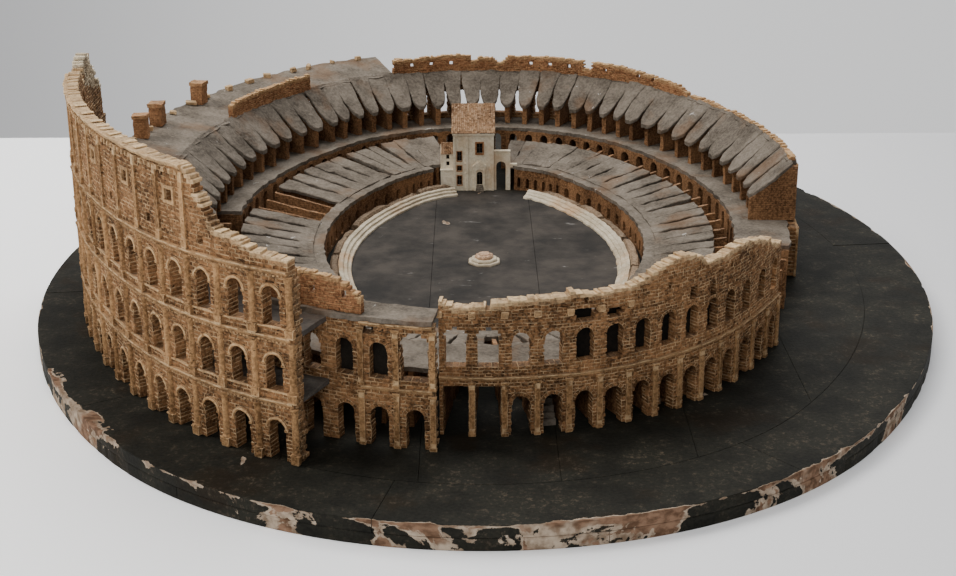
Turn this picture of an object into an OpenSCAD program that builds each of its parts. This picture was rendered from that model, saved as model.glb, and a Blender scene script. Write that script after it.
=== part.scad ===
// Ruined oval amphitheatre, a cork model at about 1:200 on an oval wooden board.
// Lengths are millimetres. The origin is the middle of the board's underside, +Z is up.
// A place on the plan is an inset from the outer facade and a bay number. Bays run
// anticlockwise from +X, and the piers between them stand at the half numbers.

/* [Oval plan] */
// Half width of the building over the outer facade
half_width = 390; // [330:1:468]
// How much longer the long half axis is than the short one
stretch = 100; // [83:1:120]

/* [Board] */
// Clear board around the outer facade
board_margin = 42; // [35:1:60]
// Extra length of the board at each end
board_extra = 7; // [2:1:15]
// Thickness of the board
board_thick = 21; // [17:1:26]
// Width of the rim around the planks
rim_width = 62; // [50:1:75]
// Play in the board's joints
board_gap = 0.4; // [0.2:0.1:0.8]
// How far the building stands back from the board's middle
building_back = 15; // [5:1:18]
// Planks in the middle of the board
plank_count = 7; // [5:1:9]
// Segments in each layer of the rim
rim_segments = 10; // [8:2:12]

/* [Storeys] */
// Height of the lowest storey
storey_1 = 50; // [46:1:60]
// Height of the second storey
storey_2 = 52; // [48:1:62]
// Height of the third storey
storey_3 = 52; // [48:1:62]
// Height of the attic
attic_high = 65; // [56:1:76]
// Height of each cornice
cornice_high = 4; // [3:0.5:5]
// How far a cornice stands out
cornice_out = 3; // [2:0.5:4]

/* [Outer ring] */
// Thickness of the outer wall
outer_thick = 12; // [10:0.5:14]
// Width of an outer arch
outer_arch = 15; // [13:0.5:18]
// Radius of a half column
column_r = 3; // [2.5:0.1:3.5]
// Inset of the middle wall behind the outer one
middle_inset = 51; // [45:1:56]
// Thickness of the middle wall
middle_thick = 10; // [8:0.5:12]
// Side of an attic window
window_side = 9; // [7:0.5:10]

/* [Facade] */
// Inset of the lower facade
facade_inset = 80; // [76:1:84]
// Thickness of the lower facade
facade_thick = 10; // [8:0.5:12]
// Width of a facade arch
facade_arch = 14.5; // [12:0.5:16]
// How far a pilaster stands out
pilaster_out = 2; // [1.5:0.1:2.5]
// Width of a pilaster
pilaster_w = 5; // [4:0.5:6]
// Inset of the facade on the back left
rear_inset = 30; // [25:1:35]

/* [Seating] */
// Height of the gallery's floor
gallery_top = 52; // [48:1:56]
// Inset of the gallery's open edge
gallery_inset = 142; // [138:1:146]
// Height of the upper seating at its foot
upper_foot = 77; // [72:1:82]
// Height of the terrace
terrace_top = 110; // [104:1:120]
// Inset of the upper seating's foot
upper_inset = 126; // [124:1:130]
// Thickness of a seating slab
slab_thick = 4; // [3:0.5:5]
// Open slot between two seating slabs
slab_gap = 4; // [3:0.5:6]
// Thickness of a radial wall
rib_thick = 4; // [3:0.5:5]

/* [Arena] */
// Inset of the podium wall's face
podium_inset = 228; // [224:1:232]
// Height of the podium wall
podium_high = 25; // [20:1:28]
// Thickness of the podium wall
podium_thick = 6; // [5:0.5:8]
// Inset of the arena's lowest step
steps_inset = 255; // [252:1:260]
// Height of one arena step
step_high = 2.6; // [2:0.1:3]
// Depth of one arena step
step_deep = 4; // [3:0.5:4.5]

/* [Chapel] */
// Width of the chapel's tower
chapel_w = 47; // [40:1:54]
// Depth of the chapel's tower
chapel_deep = 74; // [64:1:76]
// Height of the chapel's eaves
chapel_high = 69; // [60:1:80]
// Rise of the chapel's roof
roof_rise = 24; // [18:1:28]
// Thickness of the tiled roofs
tile_thick = 3; // [2:0.5:4]

/* [Hidden] */
$fn = 48;

cork = "#b07d48";
light_cork = "#c99c63";
brick = "#96603f";
pale = "#cdbd9a";
grey = "#6b655d";
plaster = "#c9b487";
tile = "#a9704a";
black_paint = "#35312c";
worn_paint = "#6e5b48";

eps = 0.01;
// Half the angle of a joint between two swept lengths
hairline = 0.005;
side_bays = 21;
end_bays = 19;
// The plan's arcs meet where a 3:4:5 triangle says
join_angle = atan2(3, 4);
side_c = 2 * stretch;
end_c = 1.5 * stretch;
side_r = half_width + side_c;
end_r = half_width + stretch - end_c;
side_step = 2 * join_angle / side_bays;
end_step = (180 - 2 * join_angle) / end_bays;
bays = 2 * (side_bays + end_bays);

// Axis bays: the chapel's end, the left side and the near end
far_bay = bays / 4;
left_bay = bays / 2;
near_bay = 3 * bays / 4;

// Ends of each stretch of ruin, in bays
outer_from = left_bay - 0.5;
outer_to = near_bay - 4.5;
middle_to = near_bay - 1.5;
front_to = near_bay + 12.5;
back_from = -1.5;
rear_from = far_bay + 4.5;
upper_from = -0.5;
upper_to = left_bay + 6.5;
gallery_from = -3.5;
gallery_to = left_bay - 0.5;

// Heights above the board
floor_1 = storey_1;
floor_2 = floor_1 + storey_2;
floor_3 = floor_2 + storey_3;
outer_top = floor_3 + attic_high;
deck = 4;
lip_thick = 4;
lip_back = 2;
lip_out = 1;
slab_low = podium_high + lip_thick + 1;
slab_high = gallery_top - 9;

// Insets of the seating's edges
facade_back = facade_inset + facade_thick;
slab_in = podium_inset - 10;
slab_out = gallery_inset + 6;
// The slabs on the right stop short of the gallery
slab_out_right = slab_out + 14;
gallery_wall = 6;

// Heights of openings above their floor
rise_1 = 26;
sill_2 = 7;
rise_2 = 22;
sill_3 = 7;
rise_3 = 24;

// The chapel's place, its annex on the left and its gateway on the right
chapel_x = -10;
chapel_front = 8;
chapel_y = half_width + stretch - podium_inset - chapel_front;
wall_thick = 4;
annex_w = 15;
annex_high = 44;
annex_back = 5;
annex_deep = 14;
annex_rise = 9;
gate_w = 19;
gate_high = 46;
gate_thick = 6;
side_w = 8;
side_high = 31;

// How far pieces are let into each other where they are glued
bed = 1;

// ---- plan ----
function around(t) = let (u = (t + side_bays / 2) % bays) u < 0 ? u + bays : u;
function arc_no(t) = let (u = around(t))
    u <= side_bays ? 0 : u <= side_bays + end_bays ? 1 : u <= 2 * side_bays + end_bays ? 2 : 3;
function arc_centre(t) = [[-side_c, 0], [0, end_c], [side_c, 0], [0, -end_c]][arc_no(t)];
function arc_radius(t) = arc_no(t) % 2 == 0 ? side_r : end_r;
function facing(t) = let (u = around(t), k = arc_no(t))
    k == 0 ? -join_angle + u * side_step :
    k == 1 ? join_angle + (u - side_bays) * end_step :
    k == 2 ? 180 - join_angle + (u - side_bays - end_bays) * side_step :
    180 + join_angle + (u - 2 * side_bays - end_bays) * end_step;
function spot(d, t) = arc_centre(t) + (arc_radius(t) - d) * [cos(facing(t)), sin(facing(t))];
function bay_width(d, t) = norm(spot(d, t + 0.5) - spot(d, t - 0.5));
// Pier lines between two places, with the two ends
function stops(t0, t1) = concat([t0],
    [for (k = [ceil(t0 - 0.5 + eps) : floor(t1 - 0.5 - eps)]) k + 0.5], [t1]);
function strip(d0, d1, t0, t1) = let (s = stops(t0, t1)) concat(
    [for (t = s) spot(d0, t)], [for (i = [len(s) - 1 : -1 : 0]) spot(d1, s[i])]);
function bays_in(t0, t1) = [for (k = [ceil(t0 + 0.5 - eps) : floor(t1 - 0.5 + eps)]) k];
function piers_in(t0, t1) = [for (k = [ceil(t0 - 0.5 - eps) : floor(t1 - 0.5 + eps)]) k + 0.5];
function near(t, t0, t1) = t > t0 && t < t1;

// The podium butts the chapel's two sides, and the seating reaches in behind them
end_bay_w = bay_width(podium_inset, far_bay);
seat_bay_w = bay_width(slab_in, far_bay);
podium_from = far_bay + (chapel_w / 2 + annex_w - chapel_x - bed) / end_bay_w;
podium_to = bays + far_bay - (chapel_x + chapel_w / 2 + gate_w + side_w - bed) / end_bay_w;
seats_from = far_bay + (chapel_w / 2 - chapel_x) / seat_bay_w;
seats_to = bays + far_bay - (chapel_x + chapel_w / 2 + gate_w + bed) / seat_bay_w;
steps_from = far_bay + 3.5;
steps_to = bays + far_bay - 6;
// Bays left clear of steps on each side of the near end, and of coping on both
clear_left = 3.5;
clear_right = 2.5;
clear_coping = 4;

module on_board() translate([0, building_back, board_thick]) children();

// A wall that follows the plan in flat bays
module ring_wall(d0, d1, z0, z1, t0, t1)
    translate([0, 0, z0]) linear_extrude(z1 - z0) polygon(strip(d0, d1, t0, t1));

// Children stand on the middle of a bay's flat face, with +X outwards
module at_bay(d, t, z = 0) {
    p = (spot(d, t - 0.5) + spot(d, t + 0.5)) / 2;
    translate([p.x, p.y, z]) rotate(facing(t)) children();
}

// Children stand at a pier line, with +X outwards
module at_pier(d, t, z = 0) {
    p = spot(d, t);
    translate([p.x, p.y, z]) rotate(facing(t)) children();
}

// A round-headed opening through a wall whose outer face is at x = 0
module arch_cut(w, thick, sill, rise) {
    translate([-thick - 1, -w / 2, sill]) cube([thick + 2, w, rise]);
    translate([-thick - 1, 0, sill + rise]) rotate([0, 90, 0]) cylinder(d = w, h = thick + 2);
}

module box_cut(w, thick, sill, high)
    translate([-thick - 1, -w / 2, sill]) cube([thick + 2, w, high]);

// A flat shape in the radial and upright directions, made w wide along the wall
module upright(points, w)
    rotate([90, 0, 0]) translate([0, 0, -w / 2]) linear_extrude(w) polygon(points);

// Places where one arc of the plan meets the next
joins = [for (n = [-1 : 1], j = [0, end_bays, side_bays + end_bays, side_bays + 2 * end_bays])
    n * bays + side_bays / 2 + j];

// A profile of [inset, height] points carried along the plan's true arcs, one length to an
// arc with a hairline joint between them
module swept(profile, t0, t1) {
    cuts = concat([t0], [for (j = joins) if (near(j, t0 + eps, t1 - eps)) j], [t1]);
    last = len(cuts) - 2;
    for (i = [0 : last]) {
        mid = (cuts[i] + cuts[i + 1]) / 2;
        c = arc_centre(mid);
        step = arc_no(mid) % 2 == 0 ? side_step : end_step;
        from = facing(mid) - step * (mid - cuts[i]) + (i > 0 ? hairline : 0);
        to = facing(mid) + step * (cuts[i + 1] - mid) - (i < last ? hairline : 0);
        translate([c.x, c.y, 0]) rotate(from) rotate_extrude(angle = to - from, $fn = 360)
            polygon([for (p = profile) [arc_radius(mid) - p[0], p[1]]]);
    }
}

function slab_profile(d0, d1, z0, z1) = [[d0, z0], [d1, z0], [d1, z1], [d0, z1]];

module arcade(d, thick, z0, z1, t0, t1, w, sill, rise)
    difference() {
        ring_wall(d, d + thick, z0, z1, t0, t1);
        for (t = bays_in(t0, t1)) at_bay(d, t, z0) arch_cut(w, thick, sill, rise);
    }

// A seating slab that leans up from its inner end, on the radial wall at pier line t
module leaning_slab(d_in, z_in, d_out, z_out, t) {
    run = d_out - d_in;
    at_pier(d_out, t) upright([[0, z_out - slab_thick], [run, z_in - slab_thick],
        [run, z_in], [0, z_out]], bay_width(d_in, t) - slab_gap);
}

// A radial wall whose top slopes between its two ends
module radial_wall(d_in, d_out, z0, z_in, z_out, t)
    at_pier(d_out, t) upright([[0, z0], [d_out - d_in, z0], [d_out - d_in, z_in], [0, z_out]],
        rib_thick);

// ---- board ----
module oval_plate(a, longer, h) {
    c_side = 2 * longer;
    c_end = 1.5 * longer;
    r_side = a + c_side;
    r_end = a + longer - c_end;
    y_join = r_side * sin(join_angle);
    $fn = 200;
    intersection() {
        translate([-c_side, 0, 0]) cylinder(r = r_side, h = h);
        translate([c_side, 0, 0]) cylinder(r = r_side, h = h);
        translate([-2 * a, -y_join, 0]) cube([4 * a, 2 * y_join, h]);
    }
    for (s = [-1, 1]) intersection() {
        translate([0, s * c_end, 0]) cylinder(r = r_end, h = h);
        translate([-2 * a, s > 0 ? y_join : -y_join - 2 * a, 0]) cube([4 * a, 2 * a, h]);
    }
}

board_a = half_width + board_margin;
board_stretch = stretch + board_extra;
plank_a = board_a - rim_width;

module rim_layer(z, turn) {
    thick = board_thick / 2;
    reach = 2 * (board_a + board_stretch);
    difference() {
        translate([0, 0, z]) oval_plate(board_a, board_stretch, thick);
        translate([0, 0, z - 1]) oval_plate(plank_a + board_gap, board_stretch, thick + 2);
        for (i = [0 : rim_segments / 2 - 1]) rotate(turn + i * 360 / rim_segments)
            translate([-reach / 2, -board_gap / 2, z - 1]) cube([reach, board_gap, thick + 2]);
    }
}

module board_planks() color(black_paint) {
    wide = 2 * plank_a / plank_count;
    difference() {
        oval_plate(plank_a, board_stretch, board_thick);
        for (i = [1 : plank_count - 1])
            translate([-plank_a + i * wide - board_gap / 2, -2 * board_a, -1])
                cube([board_gap, 4 * board_a, board_thick + 2]);
    }
}

module board_rim_upper() color(black_paint) rim_layer(board_thick / 2, 9);
module board_rim_lower() color(worn_paint) rim_layer(0, 9 + 180 / rim_segments);

// ---- arena ----
base_r = 17;
base_high = 5;
stump_r = 6;

steps_back = steps_inset - 3 * step_deep;

module centre_base() color(pale) on_board() {
    rotate(22.5) cylinder(r = base_r, h = base_high / 2, $fn = 8);
    translate([0, 0, base_high / 2]) rotate(22.5)
        cylinder(r = base_r - 3, h = base_high / 2, $fn = 8);
}

module centre_stump() color(brick) on_board()
    translate([0, 0, base_high]) cylinder(r = stump_r, h = 5);

module arena_steps(t0, t1) color(pale) on_board()
    swept([[steps_back, 0], [steps_inset, 0], [steps_inset, step_high],
        [steps_inset - step_deep, step_high], [steps_inset - step_deep, 2 * step_high],
        [steps_inset - 2 * step_deep, 2 * step_high],
        [steps_inset - 2 * step_deep, 3 * step_high], [steps_back, 3 * step_high]], t0, t1);

module arena_steps_left() arena_steps(steps_from, near_bay - clear_left);
module arena_steps_right() arena_steps(near_bay + clear_right, steps_to);

block_deep = 7;
block_high = 11;
block_gap = 2;
// One block in seven is missing, and the others stand at four heights
lost_block = 3;
function block_height(t) = block_high - (t * 5) % 4;

module coping_blocks() color(brick) on_board()
    for (t = concat(bays_in(steps_from, near_bay - clear_coping),
        bays_in(near_bay + clear_coping, steps_to))) if (t % 7 != lost_block) {
        long = bay_width(podium_inset, t) - block_gap - 1;
        at_bay(steps_back - 1, t) translate([0, -long / 2 - 0.5, 0])
            cube([block_deep, long, block_height(t)]);
    }

niche_w = 5;
niche_sill = 3;
niche_rise = podium_high - 12;

module podium_wall() color(cork) on_board()
    arcade(podium_inset - podium_thick, podium_thick, 0, podium_high, podium_from, podium_to,
        niche_w, niche_sill, niche_rise);

module podium_lip() color(grey) on_board()
    swept(slab_profile(slab_in - lip_back, podium_inset + lip_out, podium_high,
        podium_high + lip_thick), podium_from, podium_to);

// ---- lower seating ----
function in_stair_gap(t) = near(t, left_bay - 4.8, left_bay - 2.2);

function seat_z(d) = slab_low + (slab_high - slab_low) * (slab_in - d) / (slab_in - slab_out);

module lower_slabs(t0, t1, out) color(grey) on_board()
    for (t = piers_in(t0, t1)) if (!in_stair_gap(t))
        leaning_slab(slab_in, slab_low, out, seat_z(out), t);

module lower_slabs_left() lower_slabs(seats_from, near_bay, slab_out);
module lower_slabs_right() lower_slabs(near_bay + 1, seats_to, slab_out_right);

module lower_walls() color(cork) on_board()
    for (t = piers_in(seats_from, seats_to)) {
        radial_wall(slab_in, slab_out, 0, slab_low - slab_thick, slab_high - slab_thick, t);
        radial_wall(gallery_inset - gallery_wall, facade_back, 0, gallery_top - deck,
            gallery_top - deck, t);
    }

gallery_arch = 10;
// Wall left over the crown of a gallery arch
gallery_crown = 4;

module gallery_arcade() color(cork) on_board()
    arcade(gallery_inset - gallery_wall, gallery_wall, 0, gallery_top - deck,
        gallery_from, gallery_to, gallery_arch, 0,
        gallery_top - deck - gallery_arch / 2 - gallery_crown);

module gallery_floor() color(grey) on_board()
    swept(slab_profile(facade_back, gallery_inset, gallery_top - deck, gallery_top),
        gallery_from, gallery_to);

module near_deck() color(grey) on_board()
    swept(slab_profile(facade_back, gallery_inset, gallery_top - deck, gallery_top),
        upper_to + 1, bays - 6.5);

// ---- upper seating ----
module upper_walls() color(brick) on_board()
    for (t = piers_in(upper_from, upper_to))
        radial_wall(upper_inset - 4, facade_back, gallery_top, upper_foot - slab_thick
            + 4 * (terrace_top - upper_foot) / (upper_inset - facade_back),
            terrace_top - slab_thick, t);

module upper_slabs(t0, t1) color(grey) on_board()
    for (t = piers_in(t0, t1))
        leaning_slab(upper_inset, upper_foot, facade_back, terrace_top, t);

module upper_slabs_back() upper_slabs(upper_from, far_bay + 5.5);
module upper_slabs_left() upper_slabs(far_bay + 5.5, upper_to);

// The terrace climbs towards the rear facade on the left, and its lengths butt with a seam
seam = 0.01;
terrace_rise = 12;

function terrace_z(d) = terrace_top + terrace_rise * (facade_back - d) / (facade_back - rear_inset);
function sloped(d) = [[facade_back, terrace_top - deck], [facade_back, terrace_top],
    [d, terrace_z(d)], [d, terrace_z(d) - deck]];

module terrace() color(grey) on_board() {
    swept(slab_profile(facade_inset, facade_back, terrace_top - deck, terrace_top),
        upper_from, rear_from);
    swept(sloped(rear_inset), rear_from + seam, outer_from - seam);
    swept(sloped(outer_thick), outer_from, upper_to);
}

brick_thick = 6;
brick_high = 18;
notch = 5;

module brick_wall(t0, t1, z, high) difference() {
    ring_wall(facade_back - brick_thick - 1, facade_back - 1, z, z + high, t0, t1);
    for (t = bays_in(t0, t1)) at_bay(facade_back - brick_thick - 1, t, z)
        box_cut(notch, brick_thick, high / 2 - notch / 2, notch);
}

back_wall_from = upper_from + 9;
parapet_high = 5;

// The wall, and what is left of a parapet on the terrace's outer edge
module back_brick_wall() color(brick) on_board() {
    brick_wall(back_wall_from, far_bay + 4.5, terrace_top, brick_high);
    ring_wall(facade_inset + 1, facade_inset + 1 + brick_thick, terrace_top,
        terrace_top + parapet_high, upper_from, back_wall_from - eps);
}

left_wall_from = far_bay + 9.5;

module left_brick_wall() color(brick) on_board() {
    foot = terrace_z(facade_back - brick_thick - 1) - 1;
    difference() {
        union() {
            brick_wall(left_wall_from, left_wall_from + 5, foot, brick_high - 4);
            brick_wall(left_bay + 1.5, left_bay + 3.5, foot, brick_high - 6);
        }
        swept([[facade_back + 1, 0], [facade_back + 1, terrace_z(facade_back + 1)],
            [facade_inset - 1, terrace_z(facade_inset - 1)], [facade_inset - 1, 0]],
            rear_from, upper_to);
    }
}

stack_side = 14;
stack_high = 24;
cap_high = 4;
cap_out = 1;
stack_bays = [left_bay - 1.5, left_bay - 3, left_bay - 6];

module brick_stacks() color(brick) on_board()
    for (t = stack_bays) at_pier(rear_inset + stack_side / 2 + 1, t,
        terrace_z(rear_inset + 1)) {
        translate([-stack_side / 2, -stack_side / 2, 0])
            cube([stack_side, stack_side, stack_high - cap_high]);
        translate([-stack_side / 2 - cap_out, -stack_side / 2 - cap_out, stack_high - cap_high])
            cube([stack_side + 2 * cap_out, stack_side + 2 * cap_out, cap_high]);
    }

// A ruined end of the upper seating: a solid radial wall below the last slab
module end_wall(t, thick) at_pier(facade_inset, t) {
    run = facade_inset - upper_inset;
    back = facade_inset - facade_back;
    // where the lower facade rises above the gallery, the wall stands on it
    foot = floor_1 > gallery_top ? [[0, floor_1], [back, floor_1], [back, gallery_top]]
        : [[0, gallery_top]];
    rotate([90, 0, 0]) translate([0, 0, -thick / 2]) linear_extrude(thick)
        polygon(concat(foot, [[run, gallery_top], [run, upper_foot - slab_thick],
            [back, terrace_top - deck], [0, terrace_top - deck]]));
}

end_thick = 6;

module end_wall_right() color(brick) on_board() end_wall(upper_from - 0.3, end_thick);
module end_wall_left() color(cork) on_board() end_wall(upper_to + 0.4, end_thick);

// ---- facades ----
module back_facade_1() color(cork) on_board()
    arcade(facade_inset, facade_thick, 0, floor_1, back_from, rear_from, facade_arch, 0, rise_1);
module back_facade_2() color(cork) on_board()
    arcade(facade_inset, facade_thick, floor_1, terrace_top - deck, upper_from, rear_from,
        facade_arch, sill_2, rise_2);

module rear_facade_1() color(cork) on_board()
    arcade(rear_inset, facade_thick, 0, floor_1, rear_from, outer_from, outer_arch, 0, rise_1);
module rear_facade_2() color(cork) on_board()
    arcade(rear_inset, facade_thick, floor_1, terrace_z(rear_inset) - deck, rear_from, outer_from,
        outer_arch, sill_2, rise_2);

module front_facade_1() color(cork) on_board()
    arcade(facade_inset, facade_thick, 0, floor_1, middle_to, front_to, facade_arch, 0, rise_1);
module front_facade_2() color(cork) on_board()
    arcade(facade_inset, facade_thick, floor_1, floor_2, middle_to, front_to,
        facade_arch, sill_2, rise_2);

// Heights of the broken top, bay by bay, above the second storey
ragged = [10, 9, 11, 13, 14, 12, 14, 27, 27, 22, 25, 24, 18, 8];

module front_facade_top() color(cork) on_board() difference() {
    for (i = [0 : len(ragged) - 1])
        ring_wall(facade_inset, facade_back, floor_2, floor_2 + ragged[i],
            middle_to + i, middle_to + i + 1);
    for (t = bays_in(middle_to, front_to)) at_bay(facade_inset, t, floor_2)
        box_cut(notch, facade_thick, 2, notch);
}

// A moulding that sits on a wall's face at a storey's floor
module cornice(d, out, z, t0, t1)
    swept([[d, z - cornice_high], [d - out, z - cornice_high / 2], [d - out, z], [d, z]], t0, t1);

module front_cornice() color(light_cork) on_board()
    cornice(facade_inset, cornice_out, floor_1, middle_to, front_to);

module pilasters(d, z0, z1, t0, t1)
    for (t = piers_in(t0, t1)) at_pier(d, t, z0) translate([-0.2, -pilaster_w / 2, 0])
        cube([pilaster_out + 0.2, pilaster_w, z1 - z0]);

module front_pilasters() color(light_cork) on_board() {
    pilasters(facade_inset, 0, floor_1 - cornice_high, middle_to + 1, front_to);
    pilasters(facade_inset, floor_1, floor_2, middle_to + 1, front_to);
}

module middle_wall_1() color(cork) on_board()
    arcade(middle_inset, middle_thick, 0, floor_1, outer_from, middle_to, facade_arch, 0, rise_1);
module middle_wall_2() color(cork) on_board()
    arcade(middle_inset, middle_thick, floor_1, floor_2, outer_from, middle_to,
        facade_arch, sill_2, rise_2);

upper_wall_thick = 6;
upper_wall_high = 25;

module middle_upper_wall() color(brick) on_board() difference() {
    ring_wall(middle_inset + 3, middle_inset + 3 + upper_wall_thick, floor_2 + deck,
        floor_2 + deck + upper_wall_high, upper_to + 3, outer_to + 1);
    for (t = bays_in(upper_to + 3, outer_to + 1)) at_bay(middle_inset + 3, t, floor_2 + deck)
        box_cut(notch, upper_wall_thick, upper_wall_high / 2, notch);
}

module middle_terrace() color(grey) on_board()
    swept(slab_profile(middle_inset, facade_inset, floor_2, floor_2 + deck), upper_to + 1,
        middle_to);

module middle_cornices() color(light_cork) on_board()
    for (z = [floor_1, floor_2]) cornice(middle_inset, cornice_out, z, outer_to + 0.5, middle_to);

module middle_pilasters() color(light_cork) on_board() {
    pilasters(middle_inset, 0, floor_1 - cornice_high, outer_to + 1, middle_to);
    pilasters(middle_inset, floor_1, floor_2 - cornice_high, outer_to + 1, middle_to);
}

// ---- outer ring ----
module outer_storey_1() color(cork) on_board()
    arcade(0, outer_thick, 0, floor_1, outer_from, outer_to, outer_arch, 0, rise_1);
module outer_storey_2() color(cork) on_board()
    arcade(0, outer_thick, floor_1, floor_2, outer_from, outer_to, outer_arch, sill_2, rise_2);
module outer_storey_3() color(cork) on_board()
    arcade(0, outer_thick, floor_2, floor_3, outer_from, outer_to, outer_arch, sill_3, rise_3);

attic_to = outer_to - 3;
attic_steps = [attic_high - 26, 18, 6];
attic_thick = outer_thick - 2;
low_sill = 10;
high_sill = 34;
// The pale end on the left stands above the cornice
end_rise = 8;

module outer_attic() color(cork) on_board() difference() {
    union() {
        ring_wall(0, attic_thick, floor_3, outer_top, outer_from, attic_to);
        for (i = [0 : len(attic_steps) - 1])
            ring_wall(0, attic_thick, floor_3, floor_3 + attic_steps[i], attic_to + i,
                attic_to + i + 1);
        ring_wall(0, attic_thick, floor_3, outer_top + end_rise, outer_from, outer_from + 2);
    }
    for (t = bays_in(outer_from, attic_to)) at_bay(0, t, floor_3)
        if (t % 2 == 0) box_cut(window_side, attic_thick, high_sill, window_side);
        else box_cut(notch, attic_thick, low_sill, notch);
}

module outer_cornice(z, t1) color(light_cork) on_board()
    cornice(0, cornice_out, z, outer_from, t1);

module outer_cornice_1() outer_cornice(floor_1, outer_to);
module outer_cornice_2() outer_cornice(floor_2, outer_to);
module outer_cornice_3() outer_cornice(floor_3, outer_to);
module outer_top_cornice() outer_cornice(outer_top, attic_to);

column_base = 8;

// Half columns stand on pedestals in front of each pier
module half_columns() color(light_cork) on_board()
    for (f = [[0, storey_1], [floor_1, storey_2], [floor_2, storey_3]])
        for (t = piers_in(outer_from, outer_to)) at_pier(0, t, f[0] + column_base)
            intersection() {
                cylinder(r = column_r, h = f[1] - cornice_high - column_base);
                translate([-0.2, -column_r, 0]) cube([column_r + 1, 2 * column_r, f[1]]);
            }

module column_pedestals() color(light_cork) on_board()
    for (z = [0, floor_1, floor_2])
        for (t = piers_in(outer_from, outer_to)) at_pier(0, t, z)
            translate([-0.2, -column_r - 1, 0])
                cube([column_r + 0.2, 2 * column_r + 2, column_base]);

module attic_pilasters() color(light_cork) on_board()
    pilasters(0, floor_3, outer_top - cornice_high, outer_from, attic_to);

frame_w = 2.5;

module window_frames() color(light_cork) on_board()
    for (t = bays_in(outer_from, attic_to)) if (t % 2 == 0)
        at_bay(0, t, floor_3 + high_sill) difference() {
            translate([-0.2, -window_side / 2 - frame_w, -frame_w])
                cube([1.6, window_side + 2 * frame_w, window_side + 2 * frame_w]);
            translate([-1, -window_side / 2, 0]) cube([4, window_side, window_side]);
        }

module corridor_floors() color(grey) on_board()
    for (z = [floor_1, floor_2])
        swept(slab_profile(outer_thick, middle_inset, z - deck, z), outer_from, outer_to);

// ---- stairs and rubble ----
stair_steps = 10;
stair_w = 12;
stair_stands = 2;
// The flights stop short of the gallery's arcade
stair_run = gallery_inset - gallery_wall - facade_back - 3 * stair_stands;

module stair_flight(run, rise)
    for (i = [0 : stair_steps - 1])
        translate([-run + i * run / stair_steps, -stair_w / 2, 0])
            cube([run / stair_steps, stair_w, rise * (stair_steps - i) / stair_steps]);

// Open flights inside the facade that climb towards the arena
stair_bays = [near_bay + 2, near_bay + 6, near_bay + 10, left_bay - 4];

module stair_flights() color(grey) on_board()
    for (t = stair_bays) at_bay(facade_back + stair_stands, t)
        stair_flight(stair_run, gallery_top - deck - stair_stands);

rubble_size = 7;
rubble_low = 3;
rubble_turn = 37;
rubble_sunk = 0.6;

module rubble() color(light_cork) on_board()
    for (i = [0 : 11]) let (t = rear_from + 1.2 * i)
        at_pier(rear_inset + rubble_size, t, terrace_z(rear_inset + rubble_size))
            rotate(rubble_turn * i)
                translate([-rubble_size / 2, -rubble_size / 2, -rubble_sunk])
                cube([rubble_size, rubble_size, rubble_low + (i * 7) % 5]);

// ---- chapel ----
module at_chapel() on_board() translate([chapel_x, chapel_y, 0]) children();

// A gabled block or roof with its ridge along X
module gable(w, deep, rise, extra) rotate([90, 0, 90]) translate([0, 0, -w / 2])
    linear_extrude(w) polygon([[-extra, -extra * 2 * rise / deep], [deep / 2, rise],
        [deep + extra, -extra * 2 * rise / deep]]);

// The tiles of a gabled roof over a block of the same size
eave = 2;

module roof(w, deep, rise) difference() {
    translate([0, 0, tile_thick]) gable(w, deep, rise, eave);
    gable(w + 2 * eave, deep, rise, 4 * eave);
}

// An opening in the chapel's front wall
module front_hole(x, z, w, high) translate([x - w / 2, -1, z]) cube([w, wall_thick + 2, high]);

door_x = 7;
door_w = 7;
door_high = 23;
window_w = 7;
window_high = 12;
window_z = chapel_high - 24;
side_window = 5;
side_x = -chapel_w / 2 + 7;
side_windows = [[7, 11], [24, 6], [36, 11]];

module chapel_tower() color(plaster) at_chapel() difference() {
    union() {
        translate([-chapel_w / 2, 0, 0]) cube([chapel_w, chapel_deep, chapel_high]);
        translate([0, 0, chapel_high]) gable(chapel_w, chapel_deep, roof_rise, 0);
    }
    translate([-chapel_w / 2 + wall_thick, wall_thick, -1])
        cube([chapel_w - 2 * wall_thick, chapel_deep - 2 * wall_thick, chapel_high - 4]);
    front_hole(door_x, step_top, door_w, door_high - step_top);
    front_hole(door_x, window_z, window_w, window_high);
    for (hole = side_windows) front_hole(side_x, hole[0], side_window, hole[1]);
}

module chapel_annex() color(plaster) at_chapel() {
    difference() {
        translate([-chapel_w / 2 - annex_w, annex_back, 0]) {
            cube([annex_w, annex_deep, annex_high]);
            translate([annex_w / 2, 0, annex_high]) gable(annex_w, annex_deep, annex_rise, 0);
        }
        translate([-chapel_w / 2 - annex_w + wall_thick, annex_back + wall_thick, -1])
            cube([annex_w - 2 * wall_thick, annex_deep - 2 * wall_thick, annex_high - 4]);
        for (z = [29, 37]) translate([0, annex_back, 0])
            front_hole(-(chapel_w + annex_w) / 2, z, side_window - 1, 5);
    }
    translate([-chapel_w / 2 - annex_w, 0, 0]) cube([annex_w, annex_back, podium_high]);
}

module tiled_roofs() color(tile) at_chapel() {
    translate([0, 0, chapel_high]) roof(chapel_w + 2 * eave, chapel_deep, roof_rise);
    translate([-(chapel_w + annex_w) / 2, annex_back, annex_high])
        roof(annex_w - eave, annex_deep, annex_rise);
}

step_top = 7;
surround_out = 2;

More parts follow.
